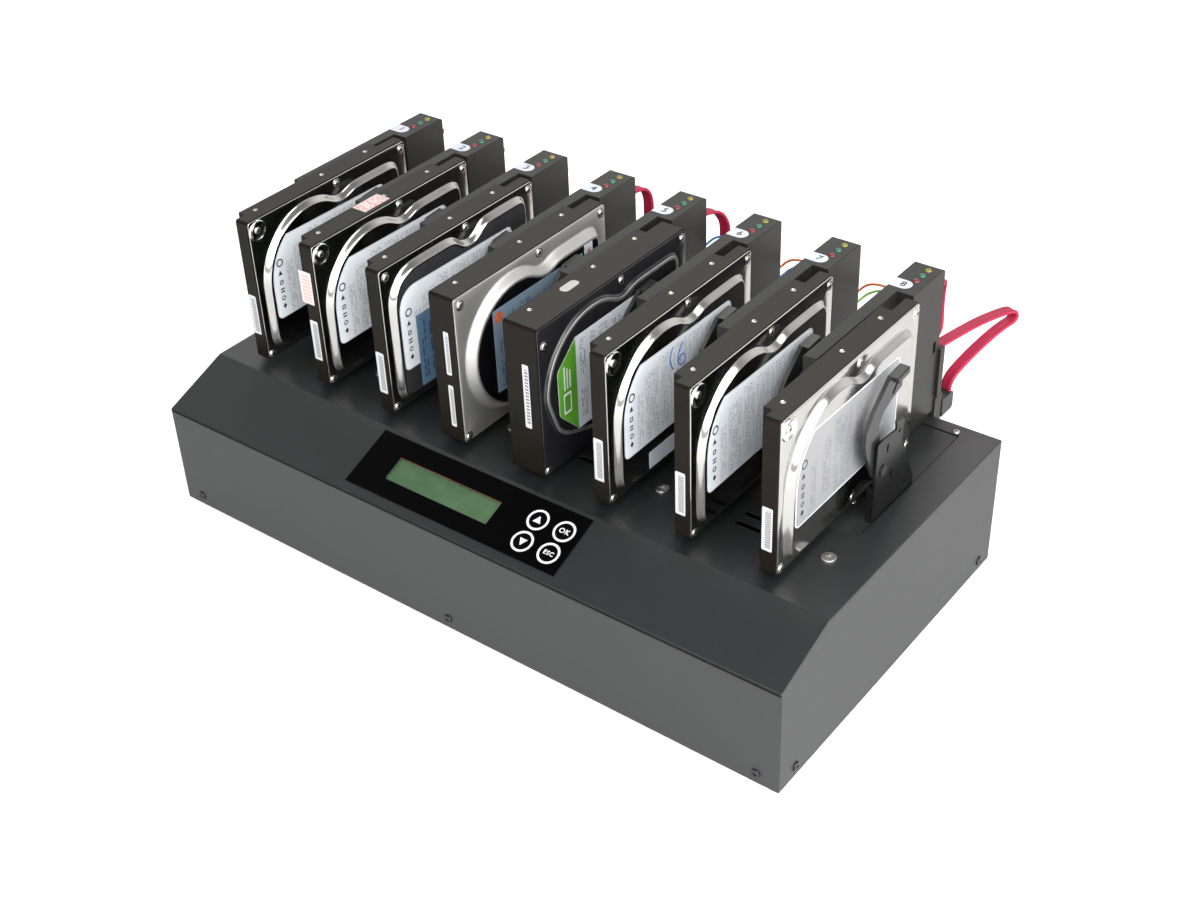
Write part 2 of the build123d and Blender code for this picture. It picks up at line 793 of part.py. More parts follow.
# Fan rotor: open hub with its axle, and pitched blades
rotor_foot = strut_depth + hub_gap
rotor_top = fan_depth - hub_gap
with BuildPart() as fan_rotor:
    with BuildSketch(fan_plane.offset(rotor_foot)):
        Circle(hub_radius)
    extrude(amount=rotor_top - rotor_foot)
    with BuildSketch(fan_plane.offset(rotor_foot)):
        Circle(hub_radius - hub_wall)
    extrude(amount=rotor_top - rotor_foot - hub_wall, mode=Mode.SUBTRACT)
    with BuildSketch(fan_plane.offset(strut_depth / 2 + axle_clear)):
        Circle(axle_radius)
    extrude(amount=rotor_top - strut_depth / 2 - axle_clear)
    blade_length = blade_tip - hub_radius + hub_wall
    with Locations(fan_plane.offset((rotor_foot + rotor_top) / 2)):
        with PolarLocations(hub_radius - hub_wall + blade_length / 2, fan_blades):
            Box(blade_length, blade_chord, blade_thickness, rotation=(blade_pitch, 0, 0))
    with BuildSketch(fan_plane.offset(rotor_foot)):
        Circle(hub_radius - hub_wall)
        Circle(axle_radius, mode=Mode.SUBTRACT)
    extrude(amount=rotor_top - rotor_foot - hub_wall, mode=Mode.SUBTRACT)


def panel_socket(x, width, depth, wall):
    """Flanged shell in the rear wall, open to the back."""
    outer_width = width - 2 * pan_clear
    outer_height = inlet_height - 2 * pan_clear
    with BuildPart() as socket:
        with BuildSketch(rear_plane):
            with Locations((x, inlet_rise)):
                RectangleRounded(width + 2 * flange_width, inlet_height + 2 * flange_width, flange_width)
        extrude(amount=-flange_thickness)
        with BuildSketch(rear_plane):
            with Locations((x, inlet_rise)):
                Rectangle(outer_width, outer_height)
        extrude(amount=depth)
        with BuildSketch(rear_plane.offset(-flange_thickness)):
            with Locations((x, inlet_rise)):
                Rectangle(outer_width - 2 * wall, outer_height - 2 * wall)
        extrude(amount=flange_thickness + depth - wall, mode=Mode.SUBTRACT)
    return socket.part


# Mains inlet with three contact blades
with BuildPart() as inlet_pins:
    with BuildSketch(rear_plane.offset(inlet_depth - inlet_wall)):
        with Locations((inlet_x, inlet_rise)):
            with GridLocations(2 * inlet_pin_spacing, 0, 2, 1):
                Rectangle(inlet_pin_thickness, inlet_pin_width)
            with Locations((0, inlet_pin_drop)):
                Rectangle(inlet_pin_thickness, inlet_pin_width)
    extrude(amount=-inlet_pin_length)
inlet_shell = panel_socket(inlet_x, inlet_width, inlet_depth, inlet_wall)
inlet_socket = Compound([inlet_shell.solid(), *inlet_pins.part.solids()])

# Power switch: shell with pin holes, and the rocker that turns in them
rocker_z = bottom_z + inlet_rise
rocker_y = rear_y - rocker_axis_depth
cavity_half = switch_width / 2 - pan_clear - switch_wall
with BuildPart() as switch_body:
    add(panel_socket(switch_x, switch_width, switch_depth, switch_wall))
    with BuildSketch(Plane(origin=(switch_x, rocker_y, rocker_z), x_dir=(0, 1, 0), z_dir=(1, 0, 0))):
        Circle(axle_radius + axle_clear)
    extrude(amount=cavity_half + switch_wall, both=True, mode=Mode.SUBTRACT)

rocker_tilt = radians(rocker_swing / 2)
rocker_plane = Plane(
    origin=(switch_x, rocker_y, rocker_z), x_dir=(0, cos(rocker_tilt), -sin(rocker_tilt)), z_dir=(1, 0, 0)
)
with BuildPart() as power_rocker:
    with BuildSketch(rocker_plane):
        with BuildLine():
            half = rocker_length / 2
            Polyline(
                (rocker_height, half), (rocker_height - rocker_dip, 0), (rocker_height, -half),
                (0, -half * 0.9), (-rocker_height / 2, -half * 0.4), (-rocker_height / 2, half * 0.4),
                (0, half * 0.9), close=True,
            )
        make_face()
    extrude(amount=cavity_half - rocker_clear, both=True)
    with BuildSketch(rocker_plane):
        Circle(axle_radius)
    extrude(amount=cavity_half + switch_wall - pan_clear, both=True)


def pan_screw(head_radius):
    """Pan-head screw with a cross recess, its head's underside at the origin."""
    with BuildPart() as item:
        Cylinder(head_radius, screw_head, align=(Align.CENTER, Align.CENTER, Align.MIN))
        fillet(item.faces().sort_by(Axis.Z)[-1].edges(), screw_head * 0.4)
        Cylinder(screw_radius, screw_length, align=(Align.CENTER, Align.CENTER, Align.MAX))
        with Locations((0, 0, screw_head)):
            Box(screw_cross, screw_cross_width, screw_head, mode=Mode.SUBTRACT)
            Box(screw_cross_width, screw_cross, screw_head, mode=Mode.SUBTRACT)
    return item.part


front_seats = [Location(place, (90, 0, 0)) for place in front_screws]
side_seats = [Location(place, (0, 90 if place[0] > 0 else -90, 0)) for place in side_screws]
case_screws = repeated(pan_screw(screw_head_radius), front_seats + side_seats)
silver_screws = repeated(pan_screw(top_screw_radius), top_screws)

# Cable plug on each tower's data jack
with BuildPart() as cable_plug:
    plug_foot = jack_z + sheet
    plug_head = plug_foot + cable_plug_height
    jack_rear = tower_rear + jack_depth
    block(
        ribbon_x - cable_plug_width / 2, ribbon_x + cable_plug_width / 2, jack_rear,
        jack_rear + cable_plug_depth, plug_foot, plug_head,
    )
    fillet(cable_plug.edges().filter_by(Axis.X).group_by(Axis.Y)[-1], ribbon_thickness)
sata_plugs = repeated(cable_plug.part, station_places)

# Sections of the cables
with BuildSketch() as flat_section:
    Rectangle(ribbon_width, ribbon_thickness)
with BuildSketch() as round_section:
    Circle(wire_diameter / 2)


def cable(plane, points, section):
    """Cable along straight runs, joined by tangent arcs as large as the runs allow."""
    radii = []
    for before, corner, after in zip(points, points[1:], points[2:]):
        arriving = Vector(*corner) - Vector(*before)
        leaving = Vector(*after) - Vector(*corner)
        half_turn = radians(arriving.get_angle(leaving) / 2)
        radii.append(arc_share * min(arriving.length, leaving.length) / tan(half_turn))
    with BuildPart() as tube:
        with BuildLine(plane) as path:
            FilletPolyline(*points, radius=radii)
        spine = path.wire()
        with BuildSketch(Plane(origin=spine @ 0, x_dir=plane.z_dir, z_dir=spine % 0)):
            add(section)
        sweep()
    swept = section.area * spine.length
    print("cable length", round(spine.length, 1), "volume", round(tube.part.volume), "of", round(swept))
    print("arc radii", [round(radius, 1) for radius in radii])
    return tube.part


# Routes of the flat cables: distance behind the case and height over its top.
# The last station's cable hangs out further than the others.
plug_out = jack_rear + cable_plug_depth - rear_y - 2
plug_up = plug_head - top_z
block_out = tower_rear + power_depth - rear_y
long_route = [
    (plug_out, plug_up), (plug_out, 9.1), (41, 17.1), (57, 24.6), (73, 30.1), (84.5, 31.1), (83.5, 39.1),
    (69, 41.1), (51, 42.1), (31.4, 40.7), (block_out - 2, 38.6),
]
short_route = [
    (plug_out, plug_up), (plug_out, 9.1), (37, 17), (48, 23), (58, 27), (60.5, 33.5), (55, 39.5),
    (44, 41.5), (31, 41), (18.5, 39.4), (block_out - 2, 38.6),
]
plate_out = tower_rear - rear_y
link_route = [
    (plate_out, 86.5), (13, 86.5), (20, 79.5), (24.5, 70), (25.5, 60.5), (20.5, 53.5), (13, 52), (plate_out, 52),
]


def loop_cable(x, route):
    """Flat cable from the plug round to the power block, in a plane that leans to the right."""
    lean = radians(ribbon_lean)
    plane = Plane(
        origin=(x + ribbon_x, rear_y + ribbon_lean_start, top_z),
        x_dir=(sin(lean), cos(lean), 0), z_dir=(cos(lean), -sin(lean), 0),
    )
    points = [((out - ribbon_lean_start) / cos(lean), up) for out, up in route]
    with BuildPart() as loop:
        add(cable(plane, points, flat_section.sketch))
        face = rear_y + block_out
        block(
            x + tower_left, x + wall_width, face - power_depth, face, power_z, power_z + power_height,
            mode=Mode.SUBTRACT,
        )
    return loop.part.solid()


loops = [loop_cable(x, short_route) for x in stations[:-1]]
loops.append(loop_cable(stations[-1], long_route))
sata_ribbons = Compound(loops)
link_plane = Plane(origin=(ribbon_x, rear_y, top_z), x_dir=(0, 1, 0), z_dir=(1, 0, 0))
link_ribbons = repeated(cable(link_plane, link_route, flat_section.sketch), station_places)

# Two thin wires from each tower's back to the next tower's, from the left tower's station line
wire_routes = [
    [
        (-15, plate_out, 60.5), (-15, 14, 60.5), (-11, 17, 65.5), (-4, 17, 68.5), (6, 16.5, 69), (16.5, 17, 67),
        (25.5, 17, 63), (32.3, 14, 58.5), (32.3, plate_out, 58.5),
    ],
    [
        (-13, plate_out, 55.5), (-13, 14.6, 55.5), (-9, 17.6, 60), (-2, 18, 64), (7, 17, 65.5), (15.5, 18, 62.5),
        (22.8, 19, 58), (28.5, 15.5, 54), (28.5, plate_out, 54),
    ],
]
wire_pair = [cable(Plane.XY, route, round_section.sketch) for route in wire_routes]
led_wires = Compound(
    [wire.moved(Pos(x, rear_y, top_z)).solid() for x in stations[:-1] for wire in wire_pair]
)

# Hard drives: casting with its circuit board, and pressed cover
shapes = {
    square_station: (thin_flange, thin_dome, "square"),
    silver_station: (silver_flange, silver_dome, "round"),
    thick_station: (thick_flange, thick_dome, "tall"),
}


def drive_casting(flange, nose):
    """Cast body, with its board as a second solid in a pocket on the left."""
    right = drive_left + flange - cover_thickness
    with BuildPart() as casting:
        block(drive_left, right, drive_front, drive_rear, drive_z, drive_top)
        fillet(casting.edges().filter_by(Axis.X), corner_radius)
        block(
            drive_left, drive_left + notch_depth, drive_rear - notch_length, drive_rear,
            drive_z + corner_radius, drive_top, mode=Mode.SUBTRACT,
        )
        block(
            drive_left, drive_left + pocket_depth, drive_front + nose_length + corner_radius,
            drive_rear - notch_length, drive_z + pocket_margin, drive_top - pocket_margin, mode=Mode.SUBTRACT,
        )
        if nose:
            block(
                drive_left, drive_left + nose_depth, drive_front, drive_front + nose_length,
                drive_z, drive_top, mode=Mode.SUBTRACT,
            )
        hole_x = drive_left + hole_from_bottom
        for hole_y in [drive_rear - offset for offset in hole_offsets]:
            for hole_z, tilt in ((drive_top, 0), (drive_z, 180)):
                with Locations(Location((hole_x, hole_y, hole_z), (tilt, 0, 0))):
                    Hole(hole_radius, depth=hole_depth)
    with BuildPart() as board:
        back = drive_left + pocket_depth
        block(
            back - 3 - board_thickness, back - 3, drive_front + nose_length + corner_radius + 1, drive_rear - 6,
            drive_z + pocket_margin + 1, drive_top - pocket_margin - 1,
        )
        for chip_y, chip_z, side in ((60, 30, 14), (95, 62, 12), (40, 66, 9)):
            block(
                back - 3, back, drive_front + chip_y, drive_front + chip_y + side,
                drive_z + chip_z, drive_z + chip_z + side,
            )
        block(
            drive_left, drive_left + notch_depth, drive_rear - 12, drive_rear, plug_z, plug_z + plug_length,
        )
        slot = tongue_thickness / 2 + tongue_clear
        block(
            plug_x - slot, plug_x + slot, drive_rear - tongue_length - 1, drive_rear,
            plug_z + 2 * tongue_thickness - tongue_clear,
            plug_z + plug_length - 2 * tongue_thickness + tongue_clear, mode=Mode.SUBTRACT,
        )
    return [casting.part.solid(), board.part.solid()]


def drive_cover(flange, dome, front):
    """Pressed plate with a raised dome: round, tall or square at its front end."""
    plate_x = drive_left + flange - cover_thickness
    crown_front = drive_front + crown_nose
    crown_length = drive_rear - crown_rear - crown_front
    crown_foot = drive_z + crown_side
    with BuildPart() as cover:
        with BuildSketch(Plane.YZ.offset(plate_x)):
            with Locations(((drive_front + drive_rear) / 2, drive_middle)):
                RectangleRounded(
                    drive_length - 2 * cover_inset, drive_width - 2 * cover_inset, corner_radius
                )
        extrude(amount=cover_thickness)
        with BuildSketch(Plane.YZ.offset(plate_x + cover_thickness)) as crown:
            if front == "square":
                with Locations((crown_front, crown_foot)):
                    Rectangle(crown_length, drive_width - 2 * crown_side, align=(Align.MIN, Align.MIN))
                fillet(crown.vertices().group_by(Axis.X)[0].sort_by(Axis.Y)[-1], crown_big_corner)
            else:
                with Locations((drive_front + platter_front, drive_middle)):
                    Circle(platter_radius)
                with Locations((drive_front + platter_front + crown_corner, drive_middle)):
                    arm_length = drive_rear - crown_rear - drive_front - platter_front - crown_corner
                    arm_width = drive_width - 2 * arm_side
                    Rectangle(arm_length, arm_width, align=(Align.MIN, Align.CENTER))
            if front == "tall":
                with Locations((crown_front, crown_foot)):
                    Rectangle(crown_length, platter_radius, align=(Align.MIN, Align.MIN))
            with Locations((drive_front + scallop_front, drive_middle)):
                with GridLocations(0, drive_width - 2 * scallop_inset, 1, 2):
                    Circle(scallop_radius, mode=Mode.SUBTRACT)
            corners = crown.vertices().filter_by(lambda v: v.Y < drive_middle and v.X < drive_front + crown_corner)
            if front != "round":
                fillet(corners, crown_corner)
            ends = crown.vertices().filter_by(lambda v: v.X > drive_front + scallop_front - 2 * scallop_radius)
            fillet(ends, crown_blend)
        extrude(amount=dome)
        top = cover.faces().sort_by(Axis.X)[-1]
        chamfer(top.edges(), dome * crown_bevel, dome * 0.85, reference=top)
    return cover.part


for number, x in enumerate(stations, start=1):
    flange, dome, front = shapes.get(number, (thin_flange, thin_dome, "tall"))
    casting = drive_casting(flange, flange == thin_flange)
    keep(Compound([piece.moved(Pos(x, 0, 0)) for piece in casting]), f"drive_{number}_casting")
    keep(repeated(drive_cover(flange, dome, front), [(x, 0, 0)]), f"drive_{number}_cover")
    keep(repeated(lever.part, [(x, 0, 0)]), f"lever_{number}")

keep(top_cover.part, "top_cover")
keep(base_pan.part, "base_pan")
keep(rubber_feet, "rubber_feet")
keep(station_bases, "station_bases")
keep(station_towers, "station_towers")
keep(tower_backs, "tower_backs")
keep(led_boards, "led_boards")
for name, group in lamps.items():
    keep(group, name)
keep(drive_sockets, "drive_sockets")
keep(lever_brackets, "lever_brackets")
keep(pivot_pins, "pivot_pins")
keep(control_overlay.part, "control_overlay")
keep(lcd_glass.part, "lcd_glass")
keep(lcd_module.part, "lcd_module")
keep(key_board.part, "key_board")
for name, place in key_places.items():
    keep(panel_key(place), name)
keep(main_board.part, "main_board")
keep(board_standoffs, "board_standoffs")
keep(board_heatsink.part, "board_heatsink")
keep(power_supply.part, "power_supply")
keep(fan_frame.part, "fan_frame")
keep(fan_rotor.part, "fan_rotor")
keep(inlet_socket, "inlet_socket")
keep(switch_body.part, "switch_body")
keep(power_rocker.part, "power_rocker")
keep(case_screws, "case_screws")
keep(silver_screws, "top_screws")
keep(sata_plugs, "sata_plugs")
keep(sata_ribbons, "sata_ribbons")
keep(link_ribbons, "link_ribbons")
keep(led_wires, "led_wires")
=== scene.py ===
import json
from math import asin, cos, degrees, pi, radians, sin

import bmesh
import bpy
from mathutils import Matrix, Vector


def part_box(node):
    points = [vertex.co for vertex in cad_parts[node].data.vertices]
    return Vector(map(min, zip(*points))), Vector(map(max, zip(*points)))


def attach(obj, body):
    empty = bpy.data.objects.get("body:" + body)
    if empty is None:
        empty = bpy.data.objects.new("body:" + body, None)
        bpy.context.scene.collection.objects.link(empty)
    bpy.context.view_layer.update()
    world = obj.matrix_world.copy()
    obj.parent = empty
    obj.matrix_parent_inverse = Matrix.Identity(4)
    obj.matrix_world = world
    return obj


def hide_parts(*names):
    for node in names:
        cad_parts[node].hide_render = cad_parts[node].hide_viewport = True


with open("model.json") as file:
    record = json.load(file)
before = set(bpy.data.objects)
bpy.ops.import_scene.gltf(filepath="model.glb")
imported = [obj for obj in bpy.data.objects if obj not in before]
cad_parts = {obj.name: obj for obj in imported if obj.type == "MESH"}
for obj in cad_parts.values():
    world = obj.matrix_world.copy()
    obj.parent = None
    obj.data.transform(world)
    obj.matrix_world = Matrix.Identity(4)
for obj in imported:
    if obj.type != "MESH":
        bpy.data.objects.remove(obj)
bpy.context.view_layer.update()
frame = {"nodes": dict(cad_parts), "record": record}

MM = 0.001
STATIONS = range(1, 9)

# Camera, from the photograph's vanishing lines and the size of the drives
CAMERA_PLACE = Vector((0.57099, -0.69676, 0.69540))
CAMERA_FORWARD = Vector((-0.52477, 0.63491, -0.56702))
CAMERA_RIGHT = Vector((0.78881, 0.61310, -0.04353))
LENS = 51.41
SHIFT = (0.0259, -0.0168)


def placed(name, data):
    """New object in the scene."""
    made = bpy.data.objects.new(name, data)
    bpy.context.collection.objects.link(made)
    return made


def add_camera():
    data = bpy.data.cameras.new("camera")
    data.lens = LENS
    data.sensor_width = 36
    data.shift_x, data.shift_y = SHIFT
    data.clip_start = 0.01
    camera = placed("camera", data)
    up = CAMERA_RIGHT.cross(CAMERA_FORWARD)
    turn = Matrix((CAMERA_RIGHT, up, -CAMERA_FORWARD)).transposed()
    camera.matrix_world = Matrix.Translation(CAMERA_PLACE) @ turn.to_4x4()
    bpy.context.scene.camera = camera


add_camera()

# Places of the main parts, from the frame
case_low, case_high = (Vector(corner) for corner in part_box("top_cover"))
case_top = case_high.z
case_rear = case_high.y
case_front = case_low.y
SLOPE = radians(21.11)
LEVER_LEFT = 11.3 * MM
station_x = {n: Vector(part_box(f"lever_{n}")[0]).x - LEVER_LEFT for n in STATIONS}


# Node helpers: a node goes into the tree of the sockets that feed it
def feed(value, target):
    """Links an output to an input, or sets the input to a number or a colour."""
    if isinstance(value, bpy.types.NodeSocket):
        value.id_data.links.new(value, target)
    else:
        target.default_value = (*value, 1) if isinstance(value, (list, tuple)) else value


def new_material(name, settings=None):
    """Node material with its shader, and plain settings of that; as (material, tree, shader)."""
    material = bpy.data.materials.new(name)
    material.use_nodes = True
    tree = material.node_tree
    shader = tree.nodes["Principled BSDF"]
    for key, value in (settings or {}).items():
        feed(value, shader.inputs[key])
    return material, tree, shader


def node(tree, kind, **settings):
    """A node with inputs fed and other settings made, by their names."""
    made = tree.nodes.new(kind)
    for key, value in settings.items():
        if key in made.inputs:
            feed(value, made.inputs[key])
        else:
            setattr(made, key, value)
    return made


def maths(operation, *values):
    """A Math node from sockets and numbers; gives its output socket."""
    tree = next(value.id_data for value in values if isinstance(value, bpy.types.NodeSocket))
    made = node(tree, "ShaderNodeMath", operation=operation)
    for socket, value in zip(made.inputs, values):
        feed(value, socket)
    return made.outputs[0]


def product(*values):
    """Product of sockets and numbers."""
    made = values[0]
    for value in values[1:]:
        made = maths("MULTIPLY", made, value)
    return made


def square_sum(first, second):
    """Sum of two values' squares."""
    return maths("MULTIPLY_ADD", first, first, maths("MULTIPLY", second, second))


def place_axes(tree, kind="Object"):
    """The surface point's X, Y and Z: in metres, or as shares of a box for Generated."""
    place = node(tree, "ShaderNodeTexCoord").outputs[kind]
    return node(tree, "ShaderNodeSeparateXYZ", Vector=place).outputs


def above(value, limit):
    """1 where a value is greater than a limit."""
    return maths("GREATER_THAN", value, limit)


def counted(value, size):
    """A value in metres, counted in steps of a size in millimetres."""
    return maths("DIVIDE", value, size * MM)


def noise(tree, scale, detail=3.0, roughness=0.6):
    """Noise over the object, as a socket; scale is in turns a metre."""
    place = node(tree, "ShaderNodeTexCoord").outputs["Object"]
    settings = {"Vector": place, "Scale": scale, "Detail": detail, "Roughness": roughness}
    return node(tree, "ShaderNodeTexNoise", **settings).outputs["Fac"]


def ramp(value, low, high):
    """A value run from 0 at low to 1 at high."""
    limits = {"From Min": low, "From Max": high}
    return node(value.id_data, "ShaderNodeMapRange", Value=value, **limits).outputs["Result"]


def mixed(factor, first, second):
    """A colour between two, each a colour or a socket."""
    made = node(factor.id_data, "ShaderNodeMix", data_type="RGBA", Factor=factor, A=first, B=second)
    return made.outputs["Result"]


def bump(shader, height, strength, distance):
    made = node(shader.id_data, "ShaderNodeBump", Strength=strength, Distance=distance, Height=height)
    feed(made.outputs["Normal"], shader.inputs["Normal"])


def finish(name, colour, rough, mottle, patch, grain, grain_depth, specular=0.5, metal=0.0, spread=0.06):
    """Painted, moulded or bare surface: mottled in patches, with a fine grain and an uneven gloss."""
    material, tree, shader = new_material(name, {"Metallic": metal, "Specular IOR Level": specular})
    dark = [part * (1 - mottle) for part in colour]
    light = [min(1, part * (1 + mottle)) for part in colour]
    patches = noise(tree, patch, 4.0, 0.65)
    feed(mixed(ramp(patches, 0.35, 0.65), dark, light), shader.inputs["Base Color"])
    fine = noise(tree, grain, 2.0, 0.5)
    feed(maths("MULTIPLY_ADD", fine, 2 * spread, rough - spread), shader.inputs["Roughness"])
    bump(shader, fine, grain_depth, 0.2 * MM)
    return material


def dress(material, *names):
    """Gives CAD nodes one material."""
    for name in names:
        mesh = frame["nodes"][name].data
        mesh.materials.clear()
        mesh.materials.append(material)


# Finishes of whole CAD nodes: the nodes, colour, roughness, mottling, patches and grain in turns
# a metre, depth of the grain, and where they aren't usual, specular, metal and spread of the roughness
NODE_FINISHES = {
    "case_paint": ("top_cover", (0.008, 0.0087, 0.0095), 0.44, 0.1, 30, 1100, 0.3, 0.85),
    "pan_paint": ("base_pan", (0.034, 0.034, 0.036), 0.5, 0.12, 20, 900, 0.15),
    "tower_plastic": (
        "station_towers tower_backs", (0.017, 0.0165, 0.0145), 0.44, 0.08, 40, 900, 0.1, 0.36,
    ),
    "base_plastic": ("station_bases", (0.016, 0.017, 0.017), 0.38, 0.2, 40, 900, 0.08),
    "bracket_paint": ("lever_brackets", (0.005, 0.0055, 0.005), 0.24, 0.25, 60, 700, 0.05, 0.3),
    "pin_steel": ("pivot_pins", (0.03, 0.03, 0.031), 0.34, 0.1, 90, 2000, 0.05, 0.5, 0.6),
    "plate_gloss": ("control_overlay", (0.001, 0.001, 0.0012), 0.12, 0.1, 20, 600, 0.01, 0.1, 0, 0.02),
    "key_gloss": (
        "key_up key_down key_ok key_esc", (0.0015, 0.0015, 0.002), 0.18, 0.1, 60, 800, 0.01, 0.12, 0, 0.03,
    ),
    "board_lacquer": ("led_boards key_board main_board", (0.012, 0.09, 0.04), 0.35, 0.25, 90, 700, 0.05),
    "alloy": ("board_heatsink", (0.55, 0.55, 0.57), 0.36, 0.08, 60, 900, 0.04, 0.5, 1),
    "plain_steel": ("power_supply board_standoffs", (0.5, 0.51, 0.52), 0.32, 0.1, 30, 700, 0.04, 0.5, 1),
    "fan_plastic": ("fan_frame fan_rotor", (0.02, 0.02, 0.021), 0.4, 0.15, 60, 900, 0.06),
    "socket_plastic": (
        "inlet_socket switch_body sata_plugs drive_sockets", (0.018, 0.018, 0.019),
        0.42, 0.15, 80, 1100, 0.07,
    ),
    "foot_rubber": ("rubber_feet", (0.02, 0.02, 0.02), 0.8, 0.2, 90, 1500, 0.2, 0.3),
    "lamp_red": ("leds_red", (0.17, 0.025, 0.025), 0.12, 0.15, 300, 900, 0.01),
    "lamp_green": ("leds_green", (0.03, 0.13, 0.08), 0.12, 0.15, 300, 900, 0.01),
    "lamp_yellow": ("leds_yellow", (0.21, 0.18, 0.035), 0.12, 0.15, 300, 900, 0.01),
}
for name, (nodes, *values) in NODE_FINISHES.items():
    dress(finish(name, *values), *nodes.split())

lever_plastic = finish("lever_plastic", (0.02, 0.0205, 0.0205), 0.3, 0.15, 60, 1200, 0.06)
screw_black = finish("screw_black", (0.06, 0.06, 0.065), 0.35, 0.2, 200, 2500, 0.05, metal=0.8)
screw_silver = finish("screw_silver", (0.68, 0.67, 0.62), 0.28, 0.12, 250, 2500, 0.05, metal=1)
cover_bright = finish("cover_bright", (0.56, 0.55, 0.525), 0.14, 0.05, 24, 420, 0.03, metal=1, spread=0.05)
cover_satin = finish("cover_satin", (0.56, 0.555, 0.53), 0.52, 0.07, 24, 900, 0.06, metal=1)
cover_black = finish("cover_black", (0.012, 0.012, 0.014), 0.2, 0.15, 30, 700, 0.02, spread=0.05)
cable_red = finish("cable_red", (0.37, 0.017, 0.055), 0.4, 0.1, 40, 700, 0.04, specular=0.3)
wire_orange = finish("wire_orange", (0.75, 0.17, 0.03), 0.35, 0.08, 90, 900, 0.02)
wire_green = finish("wire_green", (0.28, 0.6, 0.12), 0.35, 0.08, 90, 900, 0.02)
wire_blue = finish("wire_blue", (0.05, 0.3, 0.68), 0.35, 0.08, 90, 900, 0.02)
dress(lever_plastic, *(f"lever_{n}" for n in STATIONS))
dress(screw_black, "case_screws")
dress(screw_silver, "top_screws")


def within(value, low, high):
    """1 where a value in metres lies between two places in millimetres."""
    return product(above(value, low * MM), maths("LESS_THAN", value, high * MM))


def cells(seed, *values):
    """A random number for each whole part of a value, or for each pair of two values' parts."""
    whole = {axis: maths("FLOOR", value) for axis, value in zip("XY", values)}
    joined = node(values[0].id_data, "ShaderNodeCombineXYZ", Z=seed, **whole)
    return node(joined.id_data, "ShaderNodeTexWhiteNoise", Vector=joined.outputs[0]).outputs["Value"]


# Display: its characters and their dots, and where its upper row of text is, in millimetres
CHARACTER = (4.1, 2.6)
DOT = (0.8, 0.42)
TEXT_X = (-54, 2)
TEXT_Z = (84.9, 87.0)


def display_material():
    """Green display with faint character cells in its upper row."""
    material, tree, shader = new_material("display_green", {"Roughness": 0.35})
    x, _, z = place_axes(tree)
    column, row = (counted(value, size) for value, size in zip((x, z), CHARACTER))
    inside = above(maths("FRACT", column), 0.22)
    dots = cells(2, *(counted(value, size) for value, size in zip((x, z), DOT)))
    written = above(dots, 0.45)
    shade = product(inside, written, within(x, *TEXT_X), within(z, *TEXT_Z))
    cell = product(inside, above(maths("FRACT", row), 0.3), 0.1)
    faint = maths("MULTIPLY_ADD", shade, 0.5, cell)
    cloud = ramp(noise(tree, 70.0), 0.3, 0.7)
    patch = mixed(cloud, (0.059, 0.123, 0.056), (0.083, 0.155, 0.073))
    feed(mixed(faint, patch, (0.035, 0.08, 0.045)), shader.inputs["Base Color"])
    return material


def window_material():
    """Clear window over the display."""
    settings = {"Base Color": (0.92, 0.97, 0.92), "Transmission Weight": 1, "IOR": 1.1}
    material, tree, shader = new_material("window_clear", settings)
    smudge = ramp(noise(tree, 40.0), 0.3, 0.8)
    feed(maths("MULTIPLY_ADD", smudge, 0.05, 0.03), shader.inputs["Roughness"])
    return material


def rocker_material():
    """Black rocker with a bar and a ring for on and off."""
    material, tree, shader = new_material("rocker_print")
    low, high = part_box("power_rocker")
    x, _, z = place_axes(tree)
    beside = maths("SUBTRACT", x, (low[0] + high[0]) / 2)
    up = maths("SUBTRACT", z, (low[2] + high[2]) / 2)
    bar = product(within(beside, -0.35, 0.35), within(up, 2.6, 5.4))
    reach = maths("SQRT", square_sum(beside, maths("ADD", up, 4 * MM)))
    sign = maths("MAXIMUM", bar, within(reach, 0.95, 1.6))
    fine = noise(tree, 900.0, 2.0, 0.5)
    plastic = mixed(fine, (0.014, 0.014, 0.015), (0.022, 0.022, 0.023))
    feed(mixed(sign, plastic, (0.7, 0.7, 0.7)), shader.inputs["Base Color"])
    feed(maths("MULTIPLY_ADD", fine, 0.1, 0.3), shader.inputs["Roughness"])
    return material


dress(display_material(), "lcd_module")
dress(rocker_material(), "power_rocker")
dress(window_material(), "lcd_glass")


# Cables: the routes are those of the solids, as distance behind the case and height over its top
RIBBON_X = -15 * MM
RIBBON_WIDTH = 8 * MM
RIBBON_THICKNESS = 2.4 * MM
RIBBON_LEAN = radians(16)
RIBBON_LEAN_START = 22 * MM
WIRE_WIDTH = 1.5 * MM
LONG_ROUTE = [
    (29, 1.8), (29, 9.1), (41, 17.1), (57, 24.6), (73, 30.1), (84.5, 31.1), (83.5, 39.1),
    (69, 41.1), (51, 42.1), (31.4, 40.7), (12, 38.8),
]
SHORT_ROUTE = [
    (29, 1.8), (29, 9.1), (37, 17), (48, 23), (58, 27), (60.5, 33.5), (55, 39.5),
    (44, 41.5), (31, 41), (18.5, 39.4), (12, 38.8),
]
PLATE_OUT = 6.6
LINK_SHAPE = [
    (0, 0, 86.5), (0.25, 0.45, 87), (0.6, 0.85, 84.5), (0.95, 1, 78), (1, 1, 69), (0.95, 1, 60.5),
    (0.6, 0.85, 54), (0.25, 0.45, 51.5), (0, 0, 52),
]
LINK_REACH = {4: (5, 14.5), 5: (11, 13), 8: (-4, 13.5)}
